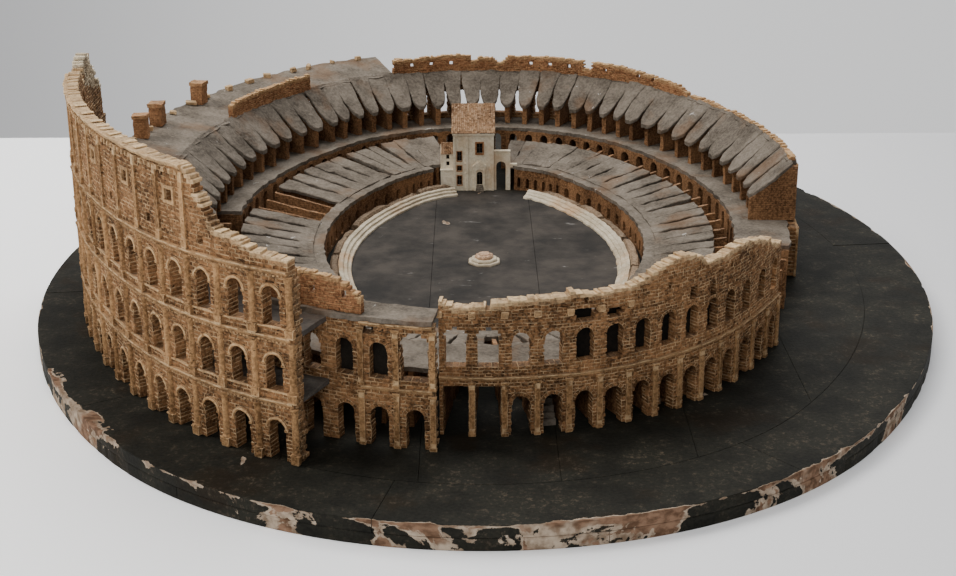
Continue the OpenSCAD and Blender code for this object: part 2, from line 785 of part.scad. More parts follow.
// Steps, a surround and a pediment around the arched door
module chapel_door() color(pale) at_chapel() translate([door_x, 0, 0]) {
    for (side = [-1, 1]) translate([side * (door_w + 3) / 2 - 1.5, -surround_out, 0])
        cube([3, surround_out, door_high + 3]);
    translate([-door_w / 2 - 3, -surround_out, door_high + 3])
        cube([door_w + 6, surround_out, 3]);
    translate([0, 0, door_high + 6]) rotate([90, 0, 0]) linear_extrude(surround_out)
        polygon([[-door_w / 2 - 5, 0], [door_w / 2 + 5, 0], [0, 6]]);
    for (i = [0 : 3]) translate([-door_w / 2, -surround_out * (4 - i), i * step_top / 4])
        cube([door_w, surround_out * (4 - i), step_top / 4]);
}

// The gateway stands back from the tower's front, and its lintel runs on over a side opening
gate_back = 2;
gate_pier = 4;
gate_head = 16;
lintel = 4;

module chapel_gateway() color(plaster) at_chapel() translate([chapel_w / 2, gate_back, 0]) {
    difference() {
        cube([gate_w, gate_thick, gate_high]);
        translate([gate_w / 2 - 1, gate_thick, 0]) rotate(90)
            arch_cut(gate_w - 2 * gate_pier, gate_thick, 0, gate_high - gate_head);
    }
    translate([gate_w, 0, side_high - lintel]) cube([side_w, gate_thick, lintel]);
}

board_planks();
board_rim_upper();
board_rim_lower();
centre_base();
centre_stump();
arena_steps_left();
arena_steps_right();
coping_blocks();
podium_wall();
podium_lip();
lower_walls();
lower_slabs_left();
lower_slabs_right();
gallery_arcade();
gallery_floor();
near_deck();
upper_walls();
upper_slabs_back();
upper_slabs_left();
terrace();
back_brick_wall();
left_brick_wall();
brick_stacks();
end_wall_right();
end_wall_left();
back_facade_1();
back_facade_2();
rear_facade_1();
rear_facade_2();
front_facade_1();
front_facade_2();
front_facade_top();
front_cornice();
front_pilasters();
middle_wall_1();
middle_wall_2();
middle_upper_wall();
middle_terrace();
middle_cornices();
middle_pilasters();
outer_storey_1();
outer_storey_2();
outer_storey_3();
outer_attic();
outer_cornice_1();
outer_cornice_2();
outer_cornice_3();
outer_top_cornice();
half_columns();
column_pedestals();
attic_pilasters();
window_frames();
corridor_floors();
stair_flights();
rubble();
chapel_tower();
chapel_annex();
tiled_roofs();
chapel_door();
chapel_gateway();
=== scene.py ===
"""A ruined oval amphitheatre in cork and plaster on an oval painted board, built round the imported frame.

The script works in millimetres on the plan and turns them into metres when a mesh is made. A place
on the plan is an inset from the outer facade and a bay number, as in the part's own source. Heights
are measured from the board's top.
"""
import math

import bmesh
import bpy
import numpy as np
from mathutils import Matrix, Vector


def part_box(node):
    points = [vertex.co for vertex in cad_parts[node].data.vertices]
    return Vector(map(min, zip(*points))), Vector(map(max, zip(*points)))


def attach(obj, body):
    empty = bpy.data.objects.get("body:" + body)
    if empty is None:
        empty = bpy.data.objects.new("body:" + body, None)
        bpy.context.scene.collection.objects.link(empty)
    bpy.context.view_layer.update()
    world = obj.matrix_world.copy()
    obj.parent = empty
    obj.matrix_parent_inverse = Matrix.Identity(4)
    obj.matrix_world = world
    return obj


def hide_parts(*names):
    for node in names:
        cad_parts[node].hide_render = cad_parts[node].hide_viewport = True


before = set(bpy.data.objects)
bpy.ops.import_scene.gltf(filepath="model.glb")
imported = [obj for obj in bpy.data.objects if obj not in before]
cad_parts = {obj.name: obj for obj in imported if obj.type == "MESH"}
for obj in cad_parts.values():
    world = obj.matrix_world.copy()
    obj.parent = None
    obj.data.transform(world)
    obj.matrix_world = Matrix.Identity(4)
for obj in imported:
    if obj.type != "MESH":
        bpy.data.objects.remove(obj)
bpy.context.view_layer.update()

# ---- driving sizes, in millimetres ----
MM = 0.001
HALF_WIDTH = 390.0
STRETCH = 100.0
SIDE_BAYS = 21
END_BAYS = 19
BACK = 15.0
BOARD_MARGIN = 42.0
BOARD_EXTRA = 7.0
RIM_WIDTH = 62.0
PLANKS = 7
RIM_SEGMENTS = 10


def cad_mm(node):
    """The lowest and highest corners of a CAD node, in millimetres."""
    low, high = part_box(node)
    return np.array(low) / MM, np.array(high) / MM


TOP = cad_mm("board_planks")[1][2]


def height_of(node):
    """How far a node's top is above the board."""
    return cad_mm(node)[1][2] - TOP


# Thickness of floors and terraces, height of the entablatures, and how much the terrace climbs
# from the facade's back out to the rear wall
SLAB = 4.0
CORNICE = 4.0
TERRACE_RISE = 12.0

FLOOR_1 = height_of("outer_storey_1")
FLOOR_2 = height_of("outer_storey_2")
FLOOR_3 = height_of("outer_storey_3")
ATTIC_TOP = height_of("outer_top_cornice")
TERRACE = height_of("back_facade_2") + SLAB
GALLERY = height_of("gallery_floor")
PODIUM = height_of("podium_wall")

OUTER_THICK = 12.0
OUTER_ARCH = 15.0
MIDDLE_INSET = 51.0
WALL_THICK = 10.0
FACADE_INSET = 80.0
FACADE_BACK = FACADE_INSET + WALL_THICK
FACADE_ARCH = 14.5
REAR_INSET = 30.0
GALLERY_INSET = 142.0
UPPER_INSET = 126.0
UPPER_FOOT = 77.0
PODIUM_INSET = 228.0
STEPS_INSET = 255.0
# Inner ends of the upper piers and of the seats, the face of the arcade, and the terrace's brick walls
PIER_INSET = UPPER_INSET - 4
SEAT_INSET = PODIUM_INSET - 10
ARCADE_INSET = GALLERY_INSET - 6
BRICK_INSET = FACADE_BACK - 7
RISE_1, RISE_2, RISE_3 = 26.0, 22.0, 24.0
SILL = 7.0

JOIN = math.atan2(3, 4)
SIDE_R = HALF_WIDTH + 2 * STRETCH
END_R = HALF_WIDTH - 0.5 * STRETCH
SIDE_STEP = 2 * JOIN / SIDE_BAYS
END_STEP = (math.pi - 2 * JOIN) / END_BAYS
BAYS = 2 * (SIDE_BAYS + END_BAYS)
FAR, LEFT, NEAR = BAYS / 4, BAYS / 2, 3 * BAYS / 4

# Ends of each stretch of ruin, in bays
OUTER = (LEFT - 0.5, NEAR - 4.5)
MIDDLE_END = NEAR - 1.5
FRONT = (MIDDLE_END, NEAR + 12.5)
BACK_FROM = -1.5
REAR = (FAR + 4.5, OUTER[0])
UPPER = (-0.5, LEFT + 6.5)
GALLERY_SPAN = (-3.5, LEFT - 0.5)
ATTIC_END = OUTER[1] - 3
PODIUM_SPAN = (FAR + 5.5, BAYS + FAR - 2.8)


# ---- plan ----
def plan(t):
    """The arc's centre, its radius over the outer facade, and the facing angle at bay t."""
    u = (t + SIDE_BAYS / 2) % BAYS
    if u <= SIDE_BAYS:
        return (-2 * STRETCH, 0), SIDE_R, -JOIN + u * SIDE_STEP
    if u <= SIDE_BAYS + END_BAYS:
        return (0, 1.5 * STRETCH), END_R, JOIN + (u - SIDE_BAYS) * END_STEP
    if u <= 2 * SIDE_BAYS + END_BAYS:
        return (2 * STRETCH, 0), SIDE_R, math.pi - JOIN + (u - SIDE_BAYS - END_BAYS) * SIDE_STEP
    return (0, -1.5 * STRETCH), END_R, math.pi + JOIN + (u - 2 * SIDE_BAYS - END_BAYS) * END_STEP


def spot(d, t):
    """The place at inset d and bay t, in the row frame's plan."""
    centre, radius, angle = plan(t)
    return np.array([centre[0] + (radius - d) * math.cos(angle),
                     centre[1] + (radius - d) * math.sin(angle) + BACK])


def bay_width(d, t):
    return float(np.linalg.norm(spot(d, t + 0.5) - spot(d, t - 0.5)))


def bays_in(t0, t1):
    return range(math.ceil(t0 + 0.49), math.floor(t1 - 0.49) + 1)


def piers_in(t0, t1):
    return [k + 0.5 for k in range(math.ceil(t0 - 0.51), math.floor(t1 - 0.49) + 1)]


def bay_place(d, t):
    """The middle of a flat bay and its facing angle."""
    return (spot(d, t - 0.5) + spot(d, t + 0.5)) / 2, plan(t)[2]


# ---- smooth noise for worn shapes ----
def noise(points, size, seed=0):
    """Smooth value noise from -1 to 1 at points, with a grain of the given size."""
    p = np.asarray(points, float) / size + 1000.0
    cell = np.floor(p).astype(np.int64)
    part = p - cell
    part = part * part * (3 - 2 * part)
    total = np.zeros(len(p))
    for corner in np.ndindex(2, 2, 2):
        at = cell + corner
        h = at[:, 0] * 374761393 + at[:, 1] * 668265263 + at[:, 2] * 1440662683 + seed * 69069
        h = (h ^ (h >> 13)) * 1274126177
        value = ((h ^ (h >> 16)) & 0xFFFF) / 32767.5 - 1
        side = np.where(corner, part, 1 - part)
        total += value * side.prod(1)
    return total


def wobble(points, size, amount, seed=0):
    """Points moved by smooth noise along each axis."""
    moves = [noise(points, size, seed + k) for k in (11, 23, 37)]
    return points + amount * np.stack(moves, 1)


# ---- mesh making ----
def new_object(name, verts, faces, finish=None, lift=0.0, tones=None):
    """A mesh object from millimetre points, raised by lift, with its faces turned outwards."""
    mesh = bpy.data.meshes.new(name)
    points = (np.asarray(verts, float) + (0, 0, lift)) * MM
    mesh.from_pydata(points.tolist(), [], [list(map(int, f)) for f in faces])
    shell = bmesh.new()
    shell.from_mesh(mesh)
    bmesh.ops.recalc_face_normals(shell, faces=shell.faces)
    shell.to_mesh(mesh)
    shell.free()
    if finish:
        mesh.materials.append(finish)
    if tones is not None:
        mesh.attributes.new("tone", "FLOAT", "POINT").data.foreach_set("value", np.asarray(tones, float))
    obj = bpy.data.objects.new(name, mesh)
    bpy.context.scene.collection.objects.link(obj)
    return obj


def joined(parts):
    """Several (verts, faces) shells as one."""
    verts, faces, count = [], [], 0
    for v, f in parts:
        verts.append(np.asarray(v, float))
        faces += [[i + count for i in face] for face in f]
        count += len(v)
    return np.concatenate(verts), faces


def tube(rings):
    """A closed shell through rings of points: an array of stations by points by 3."""
    rings = np.asarray(rings, float)
    n, m = rings.shape[:2]
    faces = [(i * m + j, i * m + (j + 1) % m, (i + 1) * m + (j + 1) % m, (i + 1) * m + j)
             for i in range(n - 1) for j in range(m)]
    faces += [tuple(range(m))[::-1], tuple(range((n - 1) * m, n * m))]
    return rings.reshape(-1, 3), faces


def box_shell(low, high, cells=(1, 1, 1)):
    """A box with its faces cut into cells, for shapes that are worn afterwards."""
    low, high = np.array(low, float), np.array(high, float)
    shell = bmesh.new()
    index = {}
    steps = [np.linspace(low[k], high[k], cells[k] + 1) for k in range(3)]

    def corner(i, j, k):
        key = (i, j, k)
        if key not in index:
            index[key] = shell.verts.new((steps[0][i], steps[1][j], steps[2][k]))
        return index[key]

    nx, ny, nz = cells
    for k in (0, nz):
        for i in range(nx):
            for j in range(ny):
                shell.faces.new([corner(i, j, k), corner(i + 1, j, k),
                                 corner(i + 1, j + 1, k), corner(i, j + 1, k)])
    for j in (0, ny):
        for i in range(nx):
            for k in range(nz):
                shell.faces.new([corner(i, j, k), corner(i + 1, j, k),
                                 corner(i + 1, j, k + 1), corner(i, j, k + 1)])
    for i in (0, nx):
        for j in range(ny):
            for k in range(nz):
                shell.faces.new([corner(i, j, k), corner(i, j + 1, k),
                                 corner(i, j + 1, k + 1), corner(i, j, k + 1)])
    shell.verts.index_update()
    verts = np.array([v.co for v in shell.verts])
    faces = [[v.index for v in f.verts] for f in shell.faces]
    shell.free()
    return verts, faces


def chamfered(front, back, cut):
    """A stone between two quads of matching corners, with its front and back arrises cut off."""
    front, back = np.asarray(front, float), np.asarray(back, float)
    deep = (back - front)
    length = np.linalg.norm(deep, axis=1, keepdims=True)
    step = deep / length * cut

    def inset(quad):
        middle = quad.mean(0)
        span = np.linalg.norm(quad - middle, axis=1, keepdims=True)
        return quad + (middle - quad) / span * cut * 1.3

    rings = [inset(front), front + step, back - step, inset(back)]
    return tube(rings)


def set_edges(obj, values=None):
    """Gives an object the face attribute "edge", which says how much each face is lightened, partly as wear
    and partly as painted highlight.
    """
    layer = obj.data.attributes.new("edge", "FLOAT", "FACE")
    if values is not None:
        layer.data.foreach_set("value", values)
    return obj


def mark_edges(obj, narrow):
    """Marks the slim faces of a stone, its cut arrises, as light edges, partly worn and partly painted
    highlight.
    """
    mesh = obj.data
    values = []
    for face in mesh.polygons:
        lengths = [(mesh.vertices[a].co - mesh.vertices[b].co).length for a, b in face.edge_keys]
        values.append(1.0 if min(lengths) < narrow * MM * 2 and len(lengths) == 4 else 0.0)
    return set_edges(obj, values)


def wear(obj, size, amount, seed=0):
    """Moves a finished mesh's points by smooth noise, so that straight edges look cut by hand."""
    mesh = obj.data
    flat = np.zeros(len(mesh.vertices) * 3)
    mesh.vertices.foreach_get("co", flat)
    points = wobble(flat.reshape(-1, 3) / MM, size, amount, seed)
    mesh.vertices.foreach_set("co", (points * MM).ravel())
    mesh.update()
    return obj


# ---- Geometry Nodes: one tree lays out everything that repeats ----
def link_all(tree, pairs):
    for source, target in pairs:
        tree.links.new(source, target)


def copies_tree():
    """Copies of a shape on points, sized and turned by the points' own attributes."""
    tree = bpy.data.node_groups.new("laid_copies", "GeometryNodeTree")
    sockets = (("Points", "Geometry"), ("Shape", "Object"), ("Finish", "Material"),
               ("Shift", "Float"), ("Twist", "Float"), ("Seed", "Int"))
    for label, kind in sockets:
        tree.interface.new_socket(label, in_out="INPUT", socket_type="NodeSocket" + kind)
    tree.interface.new_socket("Copies", in_out="OUTPUT", socket_type="NodeSocketGeometry")
    add = tree.nodes.new
    given, result = add("NodeGroupInput"), add("NodeGroupOutput")

    def named(label):
        node = add("GeometryNodeInputNamedAttribute")
        node.data_type = "FLOAT_VECTOR"
        node.inputs["Name"].default_value = label
        return node.outputs["Attribute"]

    def random_vector(seed_socket, scale_socket, offset):
        seed = add("FunctionNodeRandomValue")
        seed.data_type = "FLOAT_VECTOR"
        seed.inputs["Min"].default_value = (-1, -1, -1)
        seed.inputs["Max"].default_value = (1, 1, 1)
        shifted = add("ShaderNodeMath")
        shifted.operation = "ADD"
        shifted.inputs[1].default_value = offset
        scaled = add("ShaderNodeVectorMath")
        scaled.operation = "SCALE"
        link_all(tree, [(seed_socket, shifted.inputs[0]), (shifted.outputs[0], seed.inputs["Seed"]),
                        (seed.outputs["Value"], scaled.inputs[0]),
                        (scale_socket, scaled.inputs["Scale"])])
        return scaled.outputs["Vector"]

    moved = add("GeometryNodeSetPosition")
    turned = add("ShaderNodeVectorMath")
    rotation = add("FunctionNodeEulerToRotation")
    shape = add("GeometryNodeObjectInfo")
    placed = add("GeometryNodeInstanceOnPoints")
    real = add("GeometryNodeRealizeInstances")
    painted = add("GeometryNodeSetMaterial")
    link_all(tree, [
        (given.outputs["Points"], moved.inputs["Geometry"]),
        (random_vector(given.outputs["Seed"], given.outputs["Shift"], 1), moved.inputs["Offset"]),
        (random_vector(given.outputs["Seed"], given.outputs["Twist"], 2), turned.inputs[0]),
        (named("turn"), turned.inputs[1]),
        (turned.outputs["Vector"], rotation.inputs["Euler"]),
        (given.outputs["Shape"], shape.inputs["Object"]),
        (moved.outputs["Geometry"], placed.inputs["Points"]),
        (shape.outputs["Geometry"], placed.inputs["Instance"]),
        (rotation.outputs["Rotation"], placed.inputs["Rotation"]),
        (named("size"), placed.inputs["Scale"]),
        (placed.outputs["Instances"], real.inputs["Geometry"]),
        (real.outputs["Geometry"], painted.inputs["Geometry"]),
        (given.outputs["Finish"], painted.inputs["Material"]),
        (painted.outputs["Geometry"], result.inputs["Copies"]),
    ])
    return tree


COPIES = copies_tree()


def copies(name, shape, rows, finish, shift, twist, seed):
    """Copies of shape at rows of (place, turn, size, tone), made by the tree into one plain mesh.
    A turn is one angle about Z or three Euler angles."""
    mesh = bpy.data.meshes.new(name)
    places = np.array([r[0] for r in rows], float) + (0, 0, TOP)
    mesh.from_pydata((places * MM).tolist(), [], [])
    turns = np.array([r[1] if np.ndim(r[1]) else (0, 0, r[1]) for r in rows], float)
    sizes = np.array([r[2] for r in rows], float)
    mesh.attributes.new("turn", "FLOAT_VECTOR", "POINT").data.foreach_set("vector", turns.ravel())
    mesh.attributes.new("size", "FLOAT_VECTOR", "POINT").data.foreach_set("vector", sizes.ravel())
    tones = np.array([r[3] for r in rows], float)
    mesh.attributes.new("tone", "FLOAT", "POINT").data.foreach_set("value", tones)
    shades = np.random.default_rng(seed).uniform(-0.45, 0.45, len(rows))
    mesh.attributes.new("shade", "FLOAT", "POINT").data.foreach_set("value", shades)
    holder = bpy.data.objects.new(name, mesh)
    bpy.context.scene.collection.objects.link(holder)
    layout = holder.modifiers.new("laid", "NODES")
    layout.node_group = COPIES
    values = {"Shape": shape, "Finish": finish, "Shift": shift * MM, "Twist": twist, "Seed": seed}
    for item in COPIES.interface.items_tree:
        if item.in_out == "INPUT" and item.name in values:
            layout[item.identifier] = values[item.name]
    graph = bpy.context.evaluated_depsgraph_get()
    result = bpy.data.meshes.new_from_object(holder.evaluated_get(graph), depsgraph=graph)
    holder.modifiers.clear()
    holder.data = result
    for label in ("turn", "size"):
        if label in result.attributes:
            result.attributes.remove(result.attributes[label])
    return holder


def drop(*objects):
    """Removes shapes that were only patterns for copies."""
    for obj in objects:
        bpy.data.objects.remove(obj)


def join(name, objects):
    """Several objects with their own materials as one mesh object."""
    with bpy.context.temp_override(active_object=objects[0], selected_editable_objects=objects):
        bpy.ops.object.join()
    objects[0].name = name
    return objects[0]


def keep(obj, slot, *nodes):
    """The piece rides on the model's one body and stands for its nodes. Its slot is not used."""
    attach(obj, "root")
    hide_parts(*nodes)
    return obj


# ---- finishes: effects shared by several materials ----
def group(name, inputs, outputs):
    """An empty shader group with its inputs and outputs."""
    tree = bpy.data.node_groups.new(name, "ShaderNodeTree")
    for label, kind, value in inputs:
        item = tree.interface.new_socket(label, in_out="INPUT", socket_type="NodeSocket" + kind)
        if value is not None:
            item.default_value = value
    for label, kind in outputs:
        tree.interface.new_socket(label, in_out="OUTPUT", socket_type="NodeSocket" + kind)
    return tree, tree.nodes.new("NodeGroupInput"), tree.nodes.new("NodeGroupOutput")


def grain(tree, vector, scale, detail=4.0, rough=0.55, distort=0.0):
    node = tree.nodes.new("ShaderNodeTexNoise")
    node.inputs["Scale"].default_value = scale
    node.inputs["Detail"].default_value = detail
    node.inputs["Roughness"].default_value = rough
    node.inputs["Distortion"].default_value = distort
    tree.links.new(vector, node.inputs["Vector"])
    return node.outputs["Fac"]


def span(tree, value, low, high, to_low=0.0, to_high=1.0):
    """Maps a value's range onto another one, with its ends held."""
    node = tree.nodes.new("ShaderNodeMapRange")
    node.interpolation_type = "SMOOTHSTEP"
    ends = {"From Min": low, "From Max": high, "To Min": to_low, "To Max": to_high}
    for label, number in ends.items():
        node.inputs[label].default_value = number
    tree.links.new(value, node.inputs["Value"])
    return node.outputs["Result"]


def maths(tree, operation, a, b=None):
    node = tree.nodes.new("ShaderNodeMath")
    node.operation = operation
    for i, value in enumerate((a, b)):
        if isinstance(value, (int, float)):
            node.inputs[i].default_value = value
        elif value is not None:
            tree.links.new(value, node.inputs[i])
    return node.outputs[0]


def blend(tree, factor, a, b, kind="MIX"):
    """Mixes two colours, each a socket or a plain colour."""
    node = tree.nodes.new("ShaderNodeMix")
    node.data_type = "RGBA"
    node.blend_type = kind
    for socket, value in ((node.inputs[0], factor), (node.inputs[6], a), (node.inputs[7], b)):
        if isinstance(value, (int, float)):
            socket.default_value = value
        elif isinstance(value, tuple):
            socket.default_value = (*value, 1)
        else:
            tree.links.new(value, socket)
    return node.outputs[2]


def cork_grain():
    """Cork: an uneven colour, light and dark flecks, dark pores, and a height for both."""
    tree, given, out = group("cork_grain", [
        ("Place", "Vector", None), ("Deep colour", "Color", (0.2, 0.1, 0.04, 1)),
        ("Light colour", "Color", (0.5, 0.3, 0.13, 1)), ("Pores", "Float", 0.5), ("Tone", "Float", 0.0)],
        [("Colour", "Color"), ("Height", "Float"), ("Pore", "Float")])
    place = given.outputs["Place"]
    broad = span(tree, grain(tree, place, 22), 0.34, 0.66)
    flecks = span(tree, grain(tree, place, 420, 3, 0.6), 0.36, 0.64)
    shade = maths(tree, "ADD", maths(tree, "MULTIPLY", broad, 0.45), maths(tree, "MULTIPLY", flecks, 0.55))
    shade = maths(tree, "ADD", shade, given.outputs["Tone"])
    body = blend(tree, shade, given.outputs["Deep colour"], given.outputs["Light colour"])
    squash = tree.nodes.new("ShaderNodeMapping")
    squash.inputs["Scale"].default_value = (1, 1, 1.7)
    tree.links.new(place, squash.inputs["Vector"])
    cells = tree.nodes.new("ShaderNodeTexVoronoi")
    cells.inputs["Scale"].default_value = 330
    tree.links.new(squash.outputs[0], cells.inputs["Vector"])
    holes = span(tree, cells.outputs["Distance"], 0.16, 0.34, 1, 0)
    where = span(tree, grain(tree, place, 130, 3), 0.5, 0.62)
    pore = maths(tree, "MULTIPLY", maths(tree, "MULTIPLY", holes, where), given.outputs["Pores"])
    dark = blend(tree, pore, body, (0.022, 0.013, 0.008))
    height = maths(tree, "SUBTRACT", maths(tree, "MULTIPLY", flecks, 0.5), maths(tree, "MULTIPLY", pore, 1.6))
    for source, label in ((dark, "Colour"), (height, "Height"), (pore, "Pore")):
        tree.links.new(source, out.inputs[label])
    return tree


def grey_skin():
    """Grey plaster with brown and white scuffs, and a height."""
    tree, given, out = group("grey_skin", [
        ("Place", "Vector", None), ("Deep colour", "Color", (0.05, 0.045, 0.04, 1)),
        ("Light colour", "Color", (0.2, 0.18, 0.16, 1)), ("Scuffs", "Float", 0.5)],
        [("Colour", "Color"), ("Height", "Float"), ("Scuff", "Float")])
    place = given.outputs["Place"]
    broad = span(tree, grain(tree, place, 30, 5), 0.3, 0.7)
    fine = span(tree, grain(tree, place, 330, 4, 0.65), 0.34, 0.66)
    shade = maths(tree, "ADD", maths(tree, "MULTIPLY", broad, 0.6), maths(tree, "MULTIPLY", fine, 0.4))
    body = blend(tree, shade, given.outputs["Deep colour"], given.outputs["Light colour"])
    brown = span(tree, grain(tree, place, 17, 4), 0.52, 0.68, 0, 0.5)
    tinted = blend(tree, 1.0, given.outputs["Light colour"], (0.75, 0.46, 0.27), "MULTIPLY")
    warmer = blend(tree, brown, body, tinted)
    spots = span(tree, grain(tree, place, 58, 6, 0.7, 0.6), 0.655, 0.7)
    scuff = maths(tree, "MULTIPLY", spots, given.outputs["Scuffs"])
    whiter = blend(tree, scuff, warmer, (0.55, 0.52, 0.48))
    height = maths(tree, "ADD", maths(tree, "MULTIPLY", fine, 0.6), scuff)
    for source, label in ((whiter, "Colour"), (height, "Height"), (scuff, "Scuff")):
        tree.links.new(source, out.inputs[label])
    return tree


def courses():
    """Lines between the courses and joints of small masonry, from the plan place and the height."""
    tree, given, out = group("courses", [("Place", "Vector", None), ("Course", "Float", 3.0)],
                             [("Joint", "Float"), ("Block", "Float")])
    split = tree.nodes.new("ShaderNodeSeparateXYZ")
    tree.links.new(given.outputs["Place"], split.inputs[0])
    along = tree.nodes.new("ShaderNodeMath")
    along.operation = "ADD"
    tree.links.new(split.outputs["X"], along.inputs[0])
    tree.links.new(maths(tree, "MULTIPLY", split.outputs["Y"], 0.83), along.inputs[1])
    flat = tree.nodes.new("ShaderNodeCombineXYZ")
    size = maths(tree, "DIVIDE", 1.0, maths(tree, "MULTIPLY", given.outputs["Course"], 0.001))
    tree.links.new(maths(tree, "MULTIPLY", along.outputs[0], size), flat.inputs["X"])
    tree.links.new(maths(tree, "MULTIPLY", split.outputs["Z"], size), flat.inputs["Y"])
    wall = tree.nodes.new("ShaderNodeTexBrick")
    wall.inputs["Scale"].default_value = 1.0
    wall.inputs["Brick Width"].default_value = 2.1
    wall.inputs["Row Height"].default_value = 1.0
    wall.inputs["Mortar Size"].default_value = 0.09
    wall.inputs["Mortar Smooth"].default_value = 0.6
    wall.inputs["Color1"].default_value = (0, 0, 0, 1)
    wall.inputs["Color2"].default_value = (1, 1, 1, 1)
    tree.links.new(flat.outputs[0], wall.inputs["Vector"])
    tree.links.new(wall.outputs["Fac"], out.inputs["Joint"])
    tree.links.new(wall.outputs["Color"], out.inputs["Block"])
    return tree


def dust():
    """Dust that lies on what faces up, in patches."""
    tree, given, out = group("dust", [("Place", "Vector", None), ("Facing", "Vector", None),
                                      ("Colour", "Color", (0, 0, 0, 1)), ("Amount", "Float", 0.3)],
                             [("Colour", "Color"), ("Mask", "Float")])
    split = tree.nodes.new("ShaderNodeSeparateXYZ")
    tree.links.new(given.outputs["Facing"], split.inputs[0])
    up = span(tree, split.outputs["Z"], 0.55, 0.98)
    patch = span(tree, grain(tree, given.outputs["Place"], 95, 5), 0.3, 0.7)
    mask = maths(tree, "MULTIPLY", maths(tree, "MULTIPLY", up, patch), given.outputs["Amount"])
    tree.links.new(blend(tree, mask, given.outputs["Colour"], (0.42, 0.36, 0.28)), out.inputs["Colour"])
    tree.links.new(mask, out.inputs["Mask"])
    return tree


CORK_GRAIN, GREY_SKIN, COURSES, DUST = cork_grain(), grey_skin(), courses(), dust()


def start_finish(name, rough):
    """A material with its Principled shader, place and facing sockets ready."""
    mat = bpy.data.materials.new(name)
    mat.use_nodes = True
    tree = mat.node_tree
    shader = tree.nodes["Principled BSDF"]
    shader.inputs["Roughness"].default_value = rough
    shader.inputs["Specular IOR Level"].default_value = 0.1
    place = tree.nodes.new("ShaderNodeTexCoord").outputs["Object"]
    facing = tree.nodes.new("ShaderNodeNewGeometry").outputs["Normal"]
    return mat, tree, shader, place, facing


def use(tree, shared, **values):
    """Adds a shared group to a material, its inputs given as sockets, numbers or colours."""
    node = tree.nodes.new("ShaderNodeGroup")
    node.node_tree = shared
    for label, value in values.items():
        socket = node.inputs[label.replace("_", " ")]
        if isinstance(value, bpy.types.NodeSocket):
            tree.links.new(value, socket)
        else:
            socket.default_value = (*value, 1) if isinstance(value, tuple) else value
    return node


def mesh_value(tree, label):
    node = tree.nodes.new("ShaderNodeAttribute")
    node.attribute_name = label
    return node.outputs["Fac"]


def relief(tree, shader, height, strength, distance=0.4):
    node = tree.nodes.new("ShaderNodeBump")
    node.inputs["Strength"].default_value = strength
    node.inputs["Distance"].default_value = distance * MM
    tree.links.new(height, node.inputs["Height"])
    tree.links.new(node.outputs["Normal"], shader.inputs["Normal"])


def cork_finish(name, deep, light, pores=1.0, course=0.0, edge=(0.72, 0.52, 0.3), dusty=0.15):
    """Carved cork: pores, light arrises that are partly worn and partly painted highlight, and pale broken
    tops and trims that are partly pale cork and partly painted highlight, with small courses if asked.
    """
    mat, tree, shader, place, facing = start_finish(name, 0.88)
    body = use(tree, CORK_GRAIN, Place=place, Deep_colour=deep, Light_colour=light, Pores=pores,
               Tone=maths(tree, "MULTIPLY", mesh_value(tree, "shade"), 0.5))
    colour, height = body.outputs["Colour"], body.outputs["Height"]
    if course:
        wall = use(tree, COURSES, Place=place, Course=course)
        colour = blend(tree, maths(tree, "MULTIPLY", wall.outputs["Joint"], 0.45), colour,
                       (0.05, 0.028, 0.015))
        height = maths(tree, "SUBTRACT", height, maths(tree, "MULTIPLY", wall.outputs["Joint"], 0.9))
    # faces marked edge take the edge colour in patches: partly wear, partly painted highlight
    worn = maths(tree, "MULTIPLY", mesh_value(tree, "edge"),
                 span(tree, grain(tree, place, 160, 3), 0.35, 0.62, 0, 0.6))
    colour = blend(tree, worn, colour, edge)
    # stones and trims with a tone, most near broken tops, go pale towards the edge colour: partly pale cork,
    # partly painted highlight
    pale = maths(tree, "MULTIPLY", mesh_value(tree, "tone"),
                 span(tree, grain(tree, place, 240, 4), 0.3, 0.6, 0.35, 0.95))
    colour = blend(tree, pale, colour, edge)
    dusted = use(tree, DUST, Place=place, Facing=facing, Colour=colour, Amount=dusty)
    tree.links.new(dusted.outputs["Colour"], shader.inputs["Base Color"])
    relief(tree, shader, height, 0.9, 0.7)
    return mat


def plaster_finish(name, deep, light, scuffs, dusty=0.1):
    """Painted plaster: the grey skin's scuffs in any two colours, with dust on what faces up."""
    mat, tree, shader, place, facing = start_finish(name, 0.85)
    skin = use(tree, GREY_SKIN, Place=place, Deep_colour=deep, Light_colour=light, Scuffs=scuffs)
    dusted = use(tree, DUST, Place=place, Facing=facing, Colour=skin.outputs["Colour"], Amount=dusty)
    tree.links.new(dusted.outputs["Colour"], shader.inputs["Base Color"])
    relief(tree, shader, skin.outputs["Height"], 0.6, 0.5)
    return mat


OCHRE = cork_finish("ochre_cork", (0.066, 0.032, 0.014), (0.345, 0.178, 0.08), 1.0)
LIGHT_OCHRE = cork_finish("light_ochre_cork", (0.15, 0.078, 0.033), (0.48, 0.28, 0.132), 0.7)
RED_BRICK = cork_finish("red_brick_cork", (0.17, 0.072, 0.033), (0.5, 0.245, 0.115), 0.5, course=1.8,
                        edge=(0.62, 0.4, 0.2))
PIER_OCHRE = cork_finish("pier_cork", (0.1, 0.048, 0.022), (0.38, 0.2, 0.095), 0.7, course=2.2)
GREY = plaster_finish("grey_plaster", (0.06, 0.048, 0.036), (0.225, 0.19, 0.152), 0.8)
DARK_GREY = plaster_finish("dark_grey_plaster", (0.04, 0.034, 0.03), (0.12, 0.105, 0.092), 0.5)
CREAM = plaster_finish("cream_plaster", (0.55, 0.45, 0.31), (0.86, 0.78, 0.62), 0.25)
